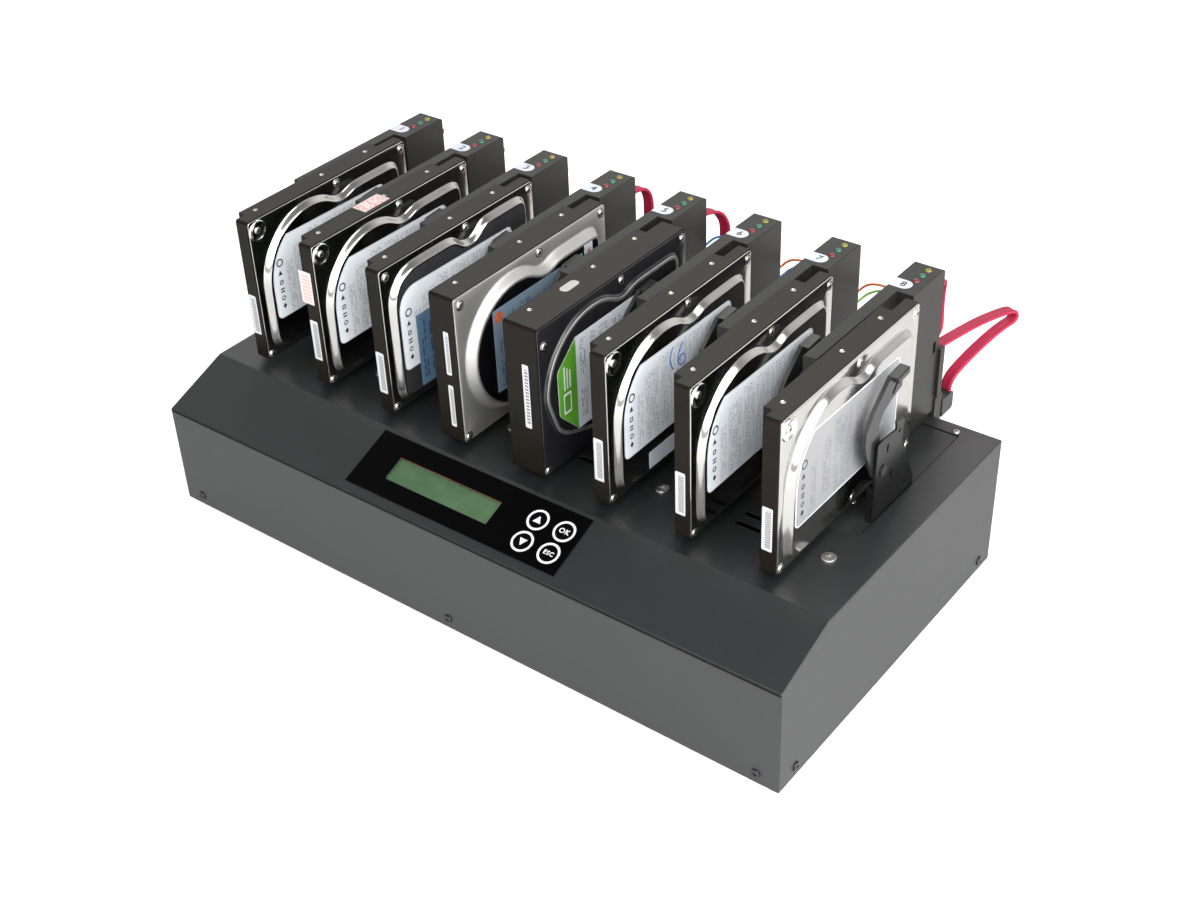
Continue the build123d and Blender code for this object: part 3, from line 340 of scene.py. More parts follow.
WIRE_ROUTES = {"upper": [
    (-15, PLATE_OUT, 60.5), (-15, 14, 60.5), (-11, 17, 65.5), (-4, 17, 68.5), (6, 16.5, 69),
    (16.5, 17, 67), (25.5, 17, 63), (32.3, 14, 58.5), (32.3, PLATE_OUT, 58.5),
], "lower": [
    (-13, PLATE_OUT, 55.5), (-13, 14.6, 55.5), (-9, 17.6, 60), (-2, 18, 64), (7, 17, 65.5),
    (15.5, 18, 62.5), (22.8, 19, 58), (28.5, 15.5, 54), (28.5, PLATE_OUT, 54),
]}


def spline(name, points):
    """Curve object with one smooth open spline."""
    data = bpy.data.curves.new(name, "CURVE")
    data.dimensions = "3D"
    data.resolution_u = 12
    line = data.splines.new("NURBS")
    line.points.add(len(points) - 1)
    for point, place in zip(line.points, points):
        point.co = (*place, 1)
    line.order_u = 3
    line.use_endpoint_u = True
    return placed(name, data)


def spline_points(name, points):
    """Points along the smooth spline of a route, and the spline is then removed."""
    guide = spline(name, points)
    mesh = bpy.data.meshes.new_from_object(guide)
    found = [vertex.co.copy() for vertex in mesh.vertices]
    bpy.data.meshes.remove(mesh)
    bpy.data.objects.remove(guide)
    return found


def add_object(name, mesh, body, *materials):
    made = placed(name, mesh)
    for material in materials:
        mesh.materials.append(material)
    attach(made, body)
    return made


def mesh_from(form, name):
    mesh = bpy.data.meshes.new(name)
    form.to_mesh(mesh)
    form.free()
    return mesh


def join_loops(form, loops):
    """Faces between closed loops of as many vertices."""
    for before, after in zip(loops, loops[1:]):
        for i in range(len(before)):
            j = (i + 1) % len(before)
            form.faces.new((before[i], before[j], after[j], after[i]))


def round_line(name, points, width, material, body, bevel=4):
    """Round cable or stroke along the smooth spline of its points, riding on a body."""
    line = spline(name, points)
    line.data.bevel_depth = width / 2
    line.data.bevel_resolution = bevel
    line.data.use_fill_caps = True
    line.data.materials.append(material)
    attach(line, body)
    return line


def finished(form, name, body, *materials, smooth=False):
    """Mesh object from a form, riding on a body."""
    bmesh.ops.recalc_face_normals(form, faces=form.faces)
    mesh = mesh_from(form, name)
    if smooth:
        mesh.shade_smooth()
    return add_object(name, mesh, body, *materials)


def ribbon_section():
    """Flat cable's outline: two round conductors' ridges joined by a web, as (across, up)."""
    half_width, half_height = RIBBON_WIDTH / 2, RIBBON_THICKNESS / 2
    edge = half_width - half_height
    outline = []
    for side in (1, -1):
        for i in range(7):
            angle = pi * i / 6 - side * pi / 2
            outline.append((side * edge + half_height * cos(angle), half_height * sin(angle)))
        outline.append((side * edge * 0.45, side * half_height * 0.9))
        outline.append((0, side * half_height * 0.62))
        outline.append((-side * edge * 0.45, side * half_height * 0.9))
    return outline


def flat_cable(name, route, across, replaced):
    """Flat cable swept along a route, with its width as near one direction as the route allows."""
    path = spline_points(name + "_guide", route)
    form = bmesh.new()
    rings = []
    for i, place in enumerate(path):
        ahead = (path[min(i + 1, len(path) - 1)] - path[max(i - 1, 0)]).normalized()
        side = (across - ahead * across.dot(ahead)).normalized()
        up = ahead.cross(side)
        rings.append([form.verts.new(place + side * u + up * v) for u, v in ribbon_section()])
    join_loops(form, rings)
    form.faces.new(rings[0][::-1])
    form.faces.new(rings[-1])
    cable = finished(form, name, "case", cable_red, smooth=True)
    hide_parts(replaced)


def add_ribbons():
    """Each station's flat cable, and the short one that links it to its tower's back."""
    lean = Vector((sin(RIBBON_LEAN), cos(RIBBON_LEAN), 0))
    across = Vector((cos(RIBBON_LEAN), -sin(RIBBON_LEAN), 0))
    for n in STATIONS:
        start = Vector((station_x[n] + RIBBON_X, case_rear + RIBBON_LEAN_START, case_top))
        route = LONG_ROUTE if n == STATIONS[-1] else SHORT_ROUTE
        points = [
            start + lean * ((out * MM - RIBBON_LEAN_START) / lean.y) + Vector((0, 0, up * MM))
            for out, up in route
        ]
        flat_cable(f"ribbon_{n}", points, across, "sata_ribbons")
        foot = Vector((station_x[n] + RIBBON_X, case_rear, case_top))
        aside, reach = LINK_REACH.get(n, (-13, 10))
        points = [
            foot + Vector((aside * share, PLATE_OUT + reach * out, up)) * MM
            for share, out, up in LINK_SHAPE
        ]
        flat_cable(f"link_{n}", points, Vector((1, 0, 0)), "link_ribbons")


def add_wires():
    """Two thin wires from each tower to the next."""
    pairs = {5: (wire_blue, wire_green), 6: (wire_orange, wire_blue), 7: (wire_orange, wire_green)}
    for n in STATIONS[:-1]:
        foot = Vector((station_x[n], case_rear, case_top))
        colours = pairs.get(n, (wire_orange, wire_green))
        for (word, route), colour in zip(WIRE_ROUTES.items(), colours):
            points = [foot + Vector(point) * MM for point in route]
            wire = round_line(f"wire_{n}_{word}", points, WIRE_WIDTH, colour, "case", bevel=3)
            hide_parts("led_wires")
            path = spline_points(f"wire_{n}_{word}_guide", points)


add_ribbons()
add_wires()


# Printed labels, stickers and marks; sizes here are in millimetres
DRIVE_LEFT = -15.6
DRIVE_HOLE = DRIVE_LEFT + 6.35
INK = (0.02, 0.021, 0.026)
PAPER = (0.64, 0.68, 0.74)
WORD = 7
BOARD_DEPTH = 3.2
BOARD_Y = (-64.3, 65.9)
BOARD_Z = (106.3, 190.1)
PAD_PITCH = 2.3
TRACE_PITCH = 1.1
TRACE_RUN = 13


def text_mask(across, along, blocks, pitch, letter):
    """Columns of fine marks in blocks of (across low, high, along low, high)."""
    rows = counted(across, pitch)
    row = above(maths("FRACT", rows), 0.42)
    letters = cells(3, rows, counted(along, letter))
    words = cells(8, rows, counted(along, WORD))
    written = above(letters, 0.32)
    spaced = above(words, 0.12)
    fields = 0.0
    for low, high, start, end in blocks:
        field = product(within(across, low, high), within(along, start, end))
        fields = maths("MAXIMUM", field, fields)
    return product(row, written, spaced, fields)


def paper_finish(shader, paper, ink, mask):
    """Paper with ink where the mask says, and a slight fibre."""
    tree = shader.id_data
    fibre = ramp(noise(tree, 60.0), 0.3, 0.7)
    stock = mixed(fibre, [part * 0.94 for part in paper], paper)
    feed(mixed(mask, stock, ink), shader.inputs["Base Color"])
    feed(maths("MULTIPLY_ADD", fibre, 0.08, 0.32), shader.inputs["Roughness"])
    bump(shader, noise(tree, 1500.0, 2.0), 0.03, 0.1 * MM)


def print_material(name, paper, ink, blocks, strength, pitch=1.5, letter=0.8):
    """Label on a drive's cover, printed with upright columns of fine marks."""
    material, tree, shader = new_material(name)
    _, y, z = place_axes(tree)
    mask = text_mask(y, z, blocks, pitch, letter)
    paper_finish(shader, paper, ink, product(mask, strength))
    return material


def sticker_material(name, paper, ink, lines, strength, left=0.42, right=0.86):
    """Small upright sticker with a column of marks over a share of its width."""
    material, tree, shader = new_material(name)
    width, _, height = place_axes(tree, "Generated")
    rows = maths("MULTIPLY", height, lines)
    bar = above(maths("FRACT", rows), 0.4)
    kept = above(cells(5, rows), 0.12)
    column = within(width, left / MM, right / MM)
    field = product(column, within(height, 0.07 / MM, 0.93 / MM))
    paper_finish(shader, paper, ink, product(bar, kept, field, strength))
    return material


def board_face(x, y, z):
    """Where a casting's circuit board is, and its lacquer with traces and gold pads."""
    pitch = station_x[2] - station_x[1]
    deep = maths("MODULO", maths("ADD", x, (1 - DRIVE_LEFT) * MM - station_x[1]), pitch)
    area = product(within(y, *BOARD_Y), within(z, *BOARD_Z))
    board = product(within(deep, 0, BOARD_DEPTH), area)
    rows, columns = counted(y, PAD_PITCH), counted(z, PAD_PITCH)
    aside = maths("SUBTRACT", maths("FRACT", rows), 0.5)
    higher = maths("SUBTRACT", maths("FRACT", columns), 0.5)
    spot = maths("LESS_THAN", square_sum(aside, higher), 0.06)
    pad = product(spot, above(cells(6, rows, columns), 0.8))
    lines = counted(z, TRACE_PITCH)
    runs = cells(9, lines, counted(y, TRACE_RUN))
    line = maths("LESS_THAN", maths("FRACT", lines), 0.4)
    trace = product(line, above(runs, 0.45))
    lacquer = mixed(trace, (0.003, 0.01, 0.008), (0.005, 0.017, 0.012))
    return board, mixed(pad, lacquer, (0.16, 0.125, 0.05))


def casting_material(name, patch=None, colour=None, marks=None):
    """Black coat of a casting, its top face painted lighter as a painted sheen, with a patch of (x low,
    high, y low, high, corner) on its top.
    """
    material, tree, shader = new_material(name, {"Specular IOR Level": 0.13})
    grain = noise(tree, 1500.0, 2.0, 0.5)
    cloud = ramp(noise(tree, 45.0, 4.0), 0.3, 0.7)
    coat = mixed(cloud, (0.0066, 0.005, 0.0034), (0.0104, 0.008, 0.0056))
    feed(maths("MULTIPLY_ADD", grain, 0.1, 0.33), shader.inputs["Roughness"])
    bump(shader, grain, 0.1, 0.2 * MM)
    x, y, z = place_axes(tree)
    on_top = above(z, (drive_top - 0.05) * MM)
    # Painted sheen: the top face is painted lighter than the sides, for light falling from above.
    coat = mixed(on_top, coat, (0.0215, 0.0205, 0.0165))
    board, lacquer = board_face(x, y, z)
    coat = mixed(board, coat, lacquer)
    if patch:
        low_x, high_x, low_y, high_y, corner = patch
        beside = corner_distance(x, low_x, high_x, corner)
        along = corner_distance(y, low_y, high_y, corner)
        reach = maths("SQRT", square_sum(beside, along))
        shape = product(maths("LESS_THAN", reach, corner * MM), on_top)
        if marks:
            written = above(cells(4, counted(x, 1.9), counted(y, 1.1)), 0.62)
            colour = mixed(product(written, 0.4), colour, marks)
        coat = mixed(shape, coat, colour)
    feed(coat, shader.inputs["Base Color"])
    return material


def corner_distance(value, low, high, corner):
    """How far a value lies outside a range that is smaller by a corner's radius at each end."""
    half = (high - low) / 2 - corner
    away = maths("ABSOLUTE", maths("SUBTRACT", value, (low + high) / 2 * MM))
    return maths("MAXIMUM", maths("SUBTRACT", away, half * MM), 0.0)


def rounded(points, steps=6):
    """Outline with rounded corners, from points of (a, b, radius)."""
    outline = []
    for i, (a, b, radius) in enumerate(points):
        corner = Vector((a, b))
        if radius == 0:
            outline.append(corner)
            continue
        before = (Vector(points[i - 1][:2]) - corner).normalized()
        after = (Vector(points[(i + 1) % len(points)][:2]) - corner).normalized()
        half = before.angle(after) / 2
        centre = corner + (before + after).normalized() * (radius / sin(half))
        reach = radius / sin(half) * cos(half)
        start = corner + before * reach - centre
        turn = start.angle_signed(corner + after * reach - centre)
        outline += [centre + Matrix.Rotation(-turn * k / steps, 2) @ start for k in range(steps + 1)]
    return outline


def arc(centre, radius, start, end, steps=14):
    """Points of an arc between two angles in degrees."""
    angles = [radians(start + (end - start) * i / steps) for i in range(steps + 1)]
    return [Vector((centre[0] + radius * cos(angle), centre[1] + radius * sin(angle))) for angle in angles]


def panel(left, low, right, high, radius=0.0):
    """Rectangle, with rounded corners if they have a radius."""
    return rounded([(left, low, radius), (right, low, radius), (right, high, radius), (left, high, radius)])


def circle(centre, radius, steps=28):
    return arc(centre, radius, 0, 360, steps)[:-1]


class Place:
    """Plane in space, from its origin in metres and two directions."""

    def __init__(self, origin, first, second):
        self.origin = Vector(origin)
        self.first = Vector(first).normalized()
        self.second = Vector(second).normalized()
        self.normal = self.first.cross(self.second)

    def at(self, point, lift=0.0):
        return self.origin + (self.first * point[0] + self.second * point[1] + self.normal * lift) * MM


def side_place(n, rel):
    """Upright plane that faces right, at a distance from a station's centre line, for (y, z)."""
    return Place((station_x[n] + rel * MM, 0, 0), (0, 1, 0), (0, 0, 1))


def front_place(n):
    """A drive's front face, for (distance from the centre line, z)."""
    return Place((station_x[n], drive_front * MM, 0), (1, 0, 0), (0, 0, 1))


def top_place(n, z):
    """Level plane that faces up, for (distance from the centre line, y)."""
    return Place((station_x[n], 0, z * MM), (1, 0, 0), (0, 1, 0))


def add_sheet(form, place, outline, thickness, lift=0.02, holes=(), slot=0):
    """Adds a thin flat plate with an outline in a plane, and holes."""
    edges = []
    for loop in (outline, *holes):
        corners = [form.verts.new(place.at(point, lift)) for point in loop]
        edges += [form.edges.new((corners[i - 1], corners[i])) for i in range(len(corners))]
    filled = bmesh.ops.triangle_fill(form, use_beauty=True, edges=edges, normal=place.normal)
    faces = [item for item in filled["geom"] if isinstance(item, bmesh.types.BMFace)]
    for face in faces:
        face.material_index = slot
    risen = bmesh.ops.extrude_face_region(form, geom=faces, use_keep_orig=True)
    moved = [item for item in risen["geom"] if isinstance(item, bmesh.types.BMVert)]
    bmesh.ops.translate(form, verts=moved, vec=place.normal * thickness * MM)


def add_turned(form, place, centre, profile, steps=28, slot=0):
    """Adds a turned piece, from a profile of (radius, lift)."""
    rings = []
    for radius, lift in profile:
        points = circle(centre, radius, steps) if radius else [centre]
        rings.append([form.verts.new(place.at(point, lift)) for point in points])
    for inner, outer in zip(rings, rings[1:]):
        for i in range(steps):
            j = (i + 1) % steps
            corners = [ring[k % len(ring)] for ring, k in ((inner, i), (outer, i), (outer, j), (inner, j))]
            form.faces.new(list(dict.fromkeys(corners))).material_index = slot


def flat_piece(name, body, place, outline, material, thickness=0.12, lift=0.02, holes=()):
    form = bmesh.new()
    add_sheet(form, place, outline, thickness, lift, holes)
    finished(form, name, body, material)


def written(name, body, place, centre, text, size, material, lift, weight=0.0, spacing=1.0):
    """Plain number or word as a thin piece, centred on a point of a plane."""
    data = bpy.data.curves.new(name + "_text", "FONT")
    data.body = text
    data.size = size * MM
    data.align_x, data.align_y = "CENTER", "CENTER"
    data.extrude = TEXT_HALF * MM
    data.offset = weight * MM
    data.space_character = spacing
    data.resolution_u = 4
    writer = placed(name + "_text", data)
    mesh = bpy.data.meshes.new_from_object(writer)
    bpy.data.objects.remove(writer)
    axes = Matrix((place.first, place.second, place.normal)).transposed().to_4x4()
    mesh.transform(Matrix.Translation(place.at(centre, lift + TEXT_HALF)) @ axes)
    mesh.materials.clear()
    mesh.name = name
    add_object(name, mesh, body, material)


def body_of(node_name):
    bodies = frame["record"]["behaviour"]["bodies"]
    return next(body for body, nodes in bodies.items() if node_name in nodes)


# Drives: from the frame, apart from the plates' depths, which are those of the solids
drive_low, drive_high = ([value / MM for value in corner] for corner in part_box("drive_7_casting"))
drive_front, drive_top = drive_low[1], drive_high[2]
drive_body = {n: body_of(f"drive_{n}_cover") for n in STATIONS}
plate_face = {n: {4: 3.2, 5: 9.0}.get(n, 0.4) for n in STATIONS}
dome_face = {n: (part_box(f"drive_{n}_cover")[1][0] - station_x[n]) / MM for n in STATIONS}

# Covers and their domes; a profile's points are (inward, lift)
PLATTER = (-23.8, 148.2)
COVER_INSET = 0.7
COVER_THICKNESS = 0.9
EDGE_PROFILE = [(0.3, 0), (0.08, -0.1), (0, -0.3), (0, -COVER_THICKNESS)]
FOOT_SHARE = 0.15
DOME_SIDE = 1.1
DOME_MARGIN = 0.1
DOME_STEPS = 14
DOME_STEP = 1.5
DOME_EASE = 20
DOME_FORWARD = 2.5
CHAMFER_START = Vector((-71.5, 128))
CHAMFER_ACROSS = Vector((0.6, 0.8))

# Screws and holes; a profile's points are (radius, lift), the screw's as shares
CORNER_SCREW = (-67.4, 190.9)
PLAIN_CORNER_SCREW = {3: (-69.0, 192.6), 4: (-69.0, 192.6), 5: (-69.0, 186.0)}
COVER_SCREWS = [(-71.3, 101.2), (4.8, 193.6), (67.3, 193.4), (4.8, 102.8), (67.3, 102.6)]
SCREW_PROFILE = [(1, 0), (1, 0.25), (0.82, 0.72), (0.5, 0.97), (0, 1)]
RIM_PROFILE = [(2.5, 0.05), (3.0, 0.3), (3.4, 0)]
DISH_PROFILE = [(2.5, 0.03), (5.0, 0.12), (5.9, 0.95), (6.4, 1.1), (6.9, 0.6), (7.1, 0)]
HOLE_PROFILE = [(1.58, -0.02), (1.3, -0.35), (1.05, -0.5), (0, -0.62)]
HOLE_OFFSETS = (28.5, 70.1, 130.1)
FAN_SCREW = 5.0
SMALL_SCREW_REAR = (13.1, 108.7)
SMALL_SCREW_BASE = (-2.8, 12.7)

# Marks, numbers, keys and panel
MARKS_LIFT = 0.22
PEN_WIDTH = 0.8
NUMBER_PLACE = (-21.8, 92.8)
NUMBER_SIZE = 7.4
TEXT_HALF = 0.03
SLOPE_FOOT = 75.1
KEY_PLACES = {"key_up": (51, 33.9), "key_down": (51, 17.6), "key_ok": (70.4, 33.9), "key_esc": (70.4, 17.6)}
RING_RADII = (7.1, 5.7)
FOLD_Z = (73.0, 74.8)
DISPLAY_EDGE = (-58.4, 34.75, 22.8, 35.15)

# Materials of labels, inks and small pieces
# The same printed label in two copies: paper painted lighter for the labels in shade between the drives,
# and painted darker for the eighth, which the lamps light straight on.
label_print_painted_lighter = print_material(
    "label_print_painted_lighter", (0.84, 0.88, 0.92), (0.15, 0.16, 0.2),
    [(-52, -46, 126, 163), (-44, -31, 127, 172), (-29, -18, 129, 177), (-16, -3, 126, 177),
     (-1, 13, 128, 177), (15, 25, 130, 175), (27, 40, 129, 177)],
    0.42,
)
label_print_painted_darker = print_material(
    "label_print_painted_darker", (0.28, 0.28, 0.285), (0.08, 0.09, 0.12),
    [(-50, -45, 128, 160), (-38, -30, 132, 168), (-26, -8, 127, 175), (-4, 12, 130, 174),
     (18, 38, 132, 172)],
    0.5,
)
label_white = print_material(
    "label_white", (0.74, 0.78, 0.83), (0.05, 0.06, 0.08),
    [(-39.5, -33, 122, 141), (-40, -33.5, 152, 176), (-29, -12, 150, 176), (-8, 20, 150, 174)], 0.6, 1.9,
)
label_blue = print_material(
    "label_blue", (0.14, 0.25, 0.38), (0.02, 0.05, 0.15),
    [(-49, -44, 112, 155), (-41, -34, 115, 150), (-31, -25, 112, 152)], 0.8, 2.6, 1.7,
)
label_slate = print_material(
    "label_slate", (0.2, 0.27, 0.35), (0.03, 0.07, 0.17),
    [(-44, -36, 124, 158), (-30, -12, 125, 174), (-6, 30, 130, 172)], 0.75, 2.2, 1.4,
)
label_edge = finish("label_edge", PAPER, 0.4, 0.04, 90, 1500, 0.03)
bar_print = sticker_material("bar_print", (0.6, 0.61, 0.62), (0.05, 0.05, 0.06), 19.0, 0.8, 0.3)
pink_print = sticker_material("pink_print", (0.75, 0.62, 0.6), (0.5, 0.1, 0.08), 9.0, 0.4, 0.15, 0.85)
ink = finish("ink", INK, 0.4, 0.15, 300, 1500, 0.02)
ink_blue = finish("ink_blue", (0.03, 0.11, 0.5), 0.4, 0.15, 300, 1500, 0.02)
ink_orange = finish("ink_orange", (0.62, 0.13, 0.04), 0.4, 0.15, 300, 1500, 0.02)
ink_green = finish("ink_green", (0.11, 0.36, 0.03), 0.36, 0.12, 60, 1500, 0.02)
ink_white = finish("ink_white", (0.8, 0.8, 0.8), 0.35, 0.05, 300, 1500, 0.02)
paper_white = finish("paper_white", (0.66, 0.69, 0.76), 0.42, 0.04, 200, 1500, 0.02)
field_black = finish("field_black", (0.004, 0.004, 0.005), 0.12, 0.1, 20, 400, 0.01, spread=0.02)
field_grey = finish("field_grey", (0.03, 0.03, 0.032), 0.3, 0.12, 20, 900, 0.05)
trim_chrome = finish("trim_chrome", (0.8, 0.79, 0.77), 0.13, 0.05, 60, 900, 0.02, metal=1, spread=0.04)
# Painted dark reflection along the fold over the front
fold_dark_reflection = finish("fold_dark_reflection", (0.004, 0.004, 0.004), 0.6, 0.2, 60, 900, 0.05, specular=0.15)
# Painted red glint along the display's upper edge
display_glint_red = finish("display_glint_red", (0.16, 0.05, 0.035), 0.4, 0.2, 200, 900, 0.02)
# Painted shade in the screws' recesses
recess_painted_shade = finish("recess_painted_shade", (0.01, 0.01, 0.01), 0.5, 0.2, 200, 1500, 0.05)

casting_black = casting_material("casting_black")
for n in STATIONS:
    dress(casting_black, f"drive_{n}_casting")
STICKER = [value + station_x[2] / MM for value in (-15.2, -3.4)]
OVAL = [value + station_x[5] / MM for value in (-10.2, -3.8)]
dress(
    casting_material("casting_sticker", (*STICKER, -22.0, 1.0, 0.4), (0.72, 0.6, 0.58), (0.5, 0.1, 0.08)),
    "drive_2_casting",
)
dress(casting_material("casting_oval", (*OVAL, -31.5, -17.0, 3.1), (0.5, 0.48, 0.44)), "drive_5_casting")


def dome_foot(n):
    """Outline of the foot of a cover's dome as (y, z), in order, from the CAD node."""
    level = station_x[n] + (plate_face[n] + FOOT_SHARE * (dome_face[n] - plate_face[n])) * MM
    form = bmesh.new()
    form.from_mesh(frame["nodes"][f"drive_{n}_cover"].data)
    bmesh.ops.remove_doubles(form, verts=form.verts, dist=0.001 * MM)
    beside = {}
    for edge in form.edges:
        if all(abs(vertex.co.x - level) < 0.01 * MM for vertex in edge.verts):
            for vertex in edge.verts:
                beside.setdefault(vertex, []).append(edge.other_vert(vertex))
    here = start = next(iter(beside))
    before = None
    points = []
    while not points or here != start:
        points.append(Vector((here.co.y, here.co.z)) / MM)
        before, here = here, next(vertex for vertex in beside[here] if vertex != before)
    form.free()
    return eased(chamfered(points) if n == 5 else points)


def chamfered(points):
    """Outline drawn forward a little, with its lower front corner cut along a line."""
    rear, front = max(point.x for point in points), min(point.x for point in points)
    stretch = 1 + DOME_FORWARD / (rear - front)
    moved = []
    for point in points:
        point = Vector((rear + (point.x - rear) * stretch, point.y))
        past = min(0, (point - CHAMFER_START).dot(CHAMFER_ACROSS))
        moved.append(point - CHAMFER_ACROSS * past)
    return moved


def eased(points):
    """Closed outline with even steps and softened corners."""
    even = []
    along = 0.0
    for i, point in enumerate(points):
        length = (point - points[i - 1]).length
        while along < length:
            even.append(points[i - 1].lerp(point, along / length))
            along += DOME_STEP
        along -= length
    for _ in range(DOME_EASE):
        even = [(even[i - 1] + 2 * even[i] + even[(i + 1) % len(even)]) / 4 for i in range(len(even))]
    return even


def inset(points, distance):
    """Closed outline moved inward by a distance."""
    area = sum(points[i - 1].x * points[i].y - points[i].x * points[i - 1].y for i in range(len(points)))
    side = 1 if area > 0 else -1
    moved = []
    for i, point in enumerate(points):
        before = (point - points[i - 1]).normalized()
        after = (points[(i + 1) % len(points)] - point).normalized()
        along = (before + after).normalized()
        moved.append(point + Vector((-along.y, along.x)) * side * distance / max(0.5, along.dot(after)))
    return moved


def inset_loops(form, place, outline, profile):
    """Loops of vertices: an outline moved inward and lifted, for each (inward, lift) of a profile."""
    loops = []
    for inward, lift in profile:
        loops.append([form.verts.new(place.at(point, lift)) for point in inset(outline, inward)])
    return loops


def fill_between(form, loops, normal):
    """Fills the level area between closed loops of vertices."""
    edges = []
    for loop in loops:
        pairs = [(loop[i - 1], loop[i]) for i in range(len(loop))]
        edges += [form.edges.get(pair) or form.edges.new(pair) for pair in pairs]
    bmesh.ops.triangle_fill(form, use_beauty=True, edges=edges, normal=normal)


def add_cover(n, material):
    """Pressed cover: a flat flange, and a dome whose side is one smooth double curve."""
    rise = dome_face[n] - plate_face[n]
    place = side_place(n, plate_face[n])
    foot = dome_foot(n)
    width = DOME_SIDE * rise
    turns = [i / DOME_STEPS for i in range(DOME_STEPS + 1)]
    profile = [(width * turn, rise * (1 - cos(pi * turn)) / 2) for turn in turns]
    profile = [(-DOME_MARGIN, 0), *profile, (width + DOME_MARGIN, rise)]
    form = bmesh.new()
    dome = inset_loops(form, place, foot, profile)
    join_loops(form, dome)
    fill_between(form, dome[-1:], place.normal)
    low_y, high_y = drive_front + COVER_INSET, drive_high[1] - COVER_INSET
    low_z, high_z = drive_low[2] + COVER_INSET, drive_top - COVER_INSET
    border = panel(low_y, low_z, high_y, high_z, 2)
    edge = inset_loops(form, place, border, EDGE_PROFILE)
    join_loops(form, edge)
    fill_between(form, [dome[0], edge[0]], place.normal)
    fill_between(form, edge[-1:], -place.normal)
    cover = finished(form, f"cover_{n}", drive_body[n], material, smooth=True)
    cover.data.set_sharp_from_angle(angle=radians(50))
    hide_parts(f"drive_{n}_cover")


def dome_outline(n):
    return inset(dome_foot(n), DOME_SIDE * (dome_face[n] - plate_face[n]))


def add_marks(n, place, column):
    """Column of small plain shapes along a label's front edge."""
    form = bmesh.new()
    shapes = [
        (circle((0.8, 164), 2.9), [circle((0.8, 164), 2.0)]),
        ([(-1.6, 155.2), (1.8, 155.2), (0.1, 158.6)], []),
        (panel(-1.5, 148.4, 1.5, 151.4, 0.5), [circle((0, 149.9), 0.9, 12)]),
        (panel(-1.6, 142.6, 1.6, 143.6), []),
        (panel(-1.6, 144.6, 1.6, 145.6), []),
        (circle((0, 138.4), 1.7), [circle((0, 138.4), 1.0)]),
        ([(-1.6, 132.6), (0, 130.6), (1.6, 132.6), (0, 134.6)], []),
    ]
    moved = Place(place.at((column, 0)), place.first, place.second)
    for outline, holes in shapes:
        add_sheet(form, moved, outline, 0.05, MARKS_LIFT, holes)
    finished(form, f"label_{n}_marks", drive_body[n], ink)


def add_thin_label(n, material):
    """Large label of a thin drive: a paler edge, a printed field and a column of marks."""
    place = side_place(n, dome_face[n])
    front, low, high, rear = -64.6, 124.5, 181.0, 43.5
    radius = PLATTER[0] - front
    if n == 3:
        curve = rounded([(front, 140, 0), (front, high, 15), (0, high, 0)])[1:-1]
    else:
        curve = arc(PLATTER, radius, 180, 180 - degrees(asin((high - PLATTER[1]) / radius)))
    corners = rounded([
        (curve[-1].x, high, 0), (rear, high - 1.5, 4), (rear, low, 3), (front, low, 4), (front, 140, 0),
    ])
    outline = [*corners[1:-1], *curve]
    flat_piece(f"label_{n}_edge", drive_body[n], place, outline, label_edge)
    flat_piece(f"label_{n}", drive_body[n], place, inset(outline, 0.9), material, 0.06, 0.14)
    add_marks(n, place, front + 6.6)


def add_labels():
    for n in (1, 2, 3, 6, 7):
        add_thin_label(n, label_print_painted_lighter)
    add_thin_label(8, label_print_painted_darker)
    second = panel(-51.5, 107.5, -22, 158.5, 0.6)
    slate, small = panel(-48, 122, 40, 179.5, 1.5), panel(41.5, 172, 50, 183.5, 0.4)
    dot, spot = circle((-42.6, 173.6), 3.7), [(44, 176.5), (48, 175.5), (46.5, 180.5)]
    for n, name, outline, material, thickness, lift in (
        (3, "field_3", inset(dome_outline(3), 0.5), field_grey, 0.04, 0.005),
        (4, "field_4", inset(dome_outline(4), 0.5), field_black, 0.04, 0.005),
        (3, "label_3_second", second, label_blue, 0.08, 0.24),
        (4, "label_4", slate, label_slate, 0.12, 0.06),
        (4, "label_4_dot", dot, ink_orange, 0.05, 0.2),
        (4, "label_4_small", small, paper_white, 0.08, 0.2),
        (4, "label_4_spot", spot, ink_orange, 0.04, 0.3),
    ):
        flat_piece(name, drive_body[n], side_place(n, dome_face[n]), outline, material, thickness, lift)
    add_green_label()
    place = side_place(6, dome_face[6])
    flat_piece("label_6_second", drive_body[6], place, panel(-41.5, 105.5, -16, 117, 0.5), label_edge)
    add_pen_marks(place)


def add_green_label():
    """Thick drive's label: white, with a green band along its chamfered front edge."""
    n = 5
    place = side_place(n, dome_face[n])
    body = drive_body[n]
    bottom, top = 116.0, 179.5
    front = [(-43, top, 0), (-60.8, 164, 6), (-60.2, 133.5, 6), (-43, bottom, 0)]
    label = rounded([*front, (34, bottom, 0), (34, top, 0)])
    flat_piece("label_5", body, place, label, label_white)
    flat_piece("label_5_band", body, place, inset(rounded(front), 0.15), ink_green, 0.05, 0.15)
    form = bmesh.new()
    outer = panel(-56, 132.5, -49, 146.5, 0.8)
    inner = [point.lerp(Vector((-52.5, 139.5)), 0.2) for point in outer]
    add_sheet(form, place, outer, 0.04, 0.21, [inner])
    for line in range(3):
        y = -55.2 + 2.6 * line
        add_sheet(form, place, panel(y, 149, y + 1.1, 165 - 2 * line), 0.04, 0.21)
    finished(form, "label_5_lines", body, ink_white)
    add_trim("cover_5_trim", body, place, inset(dome_outline(n), 1.3), 1.25, 0.5)


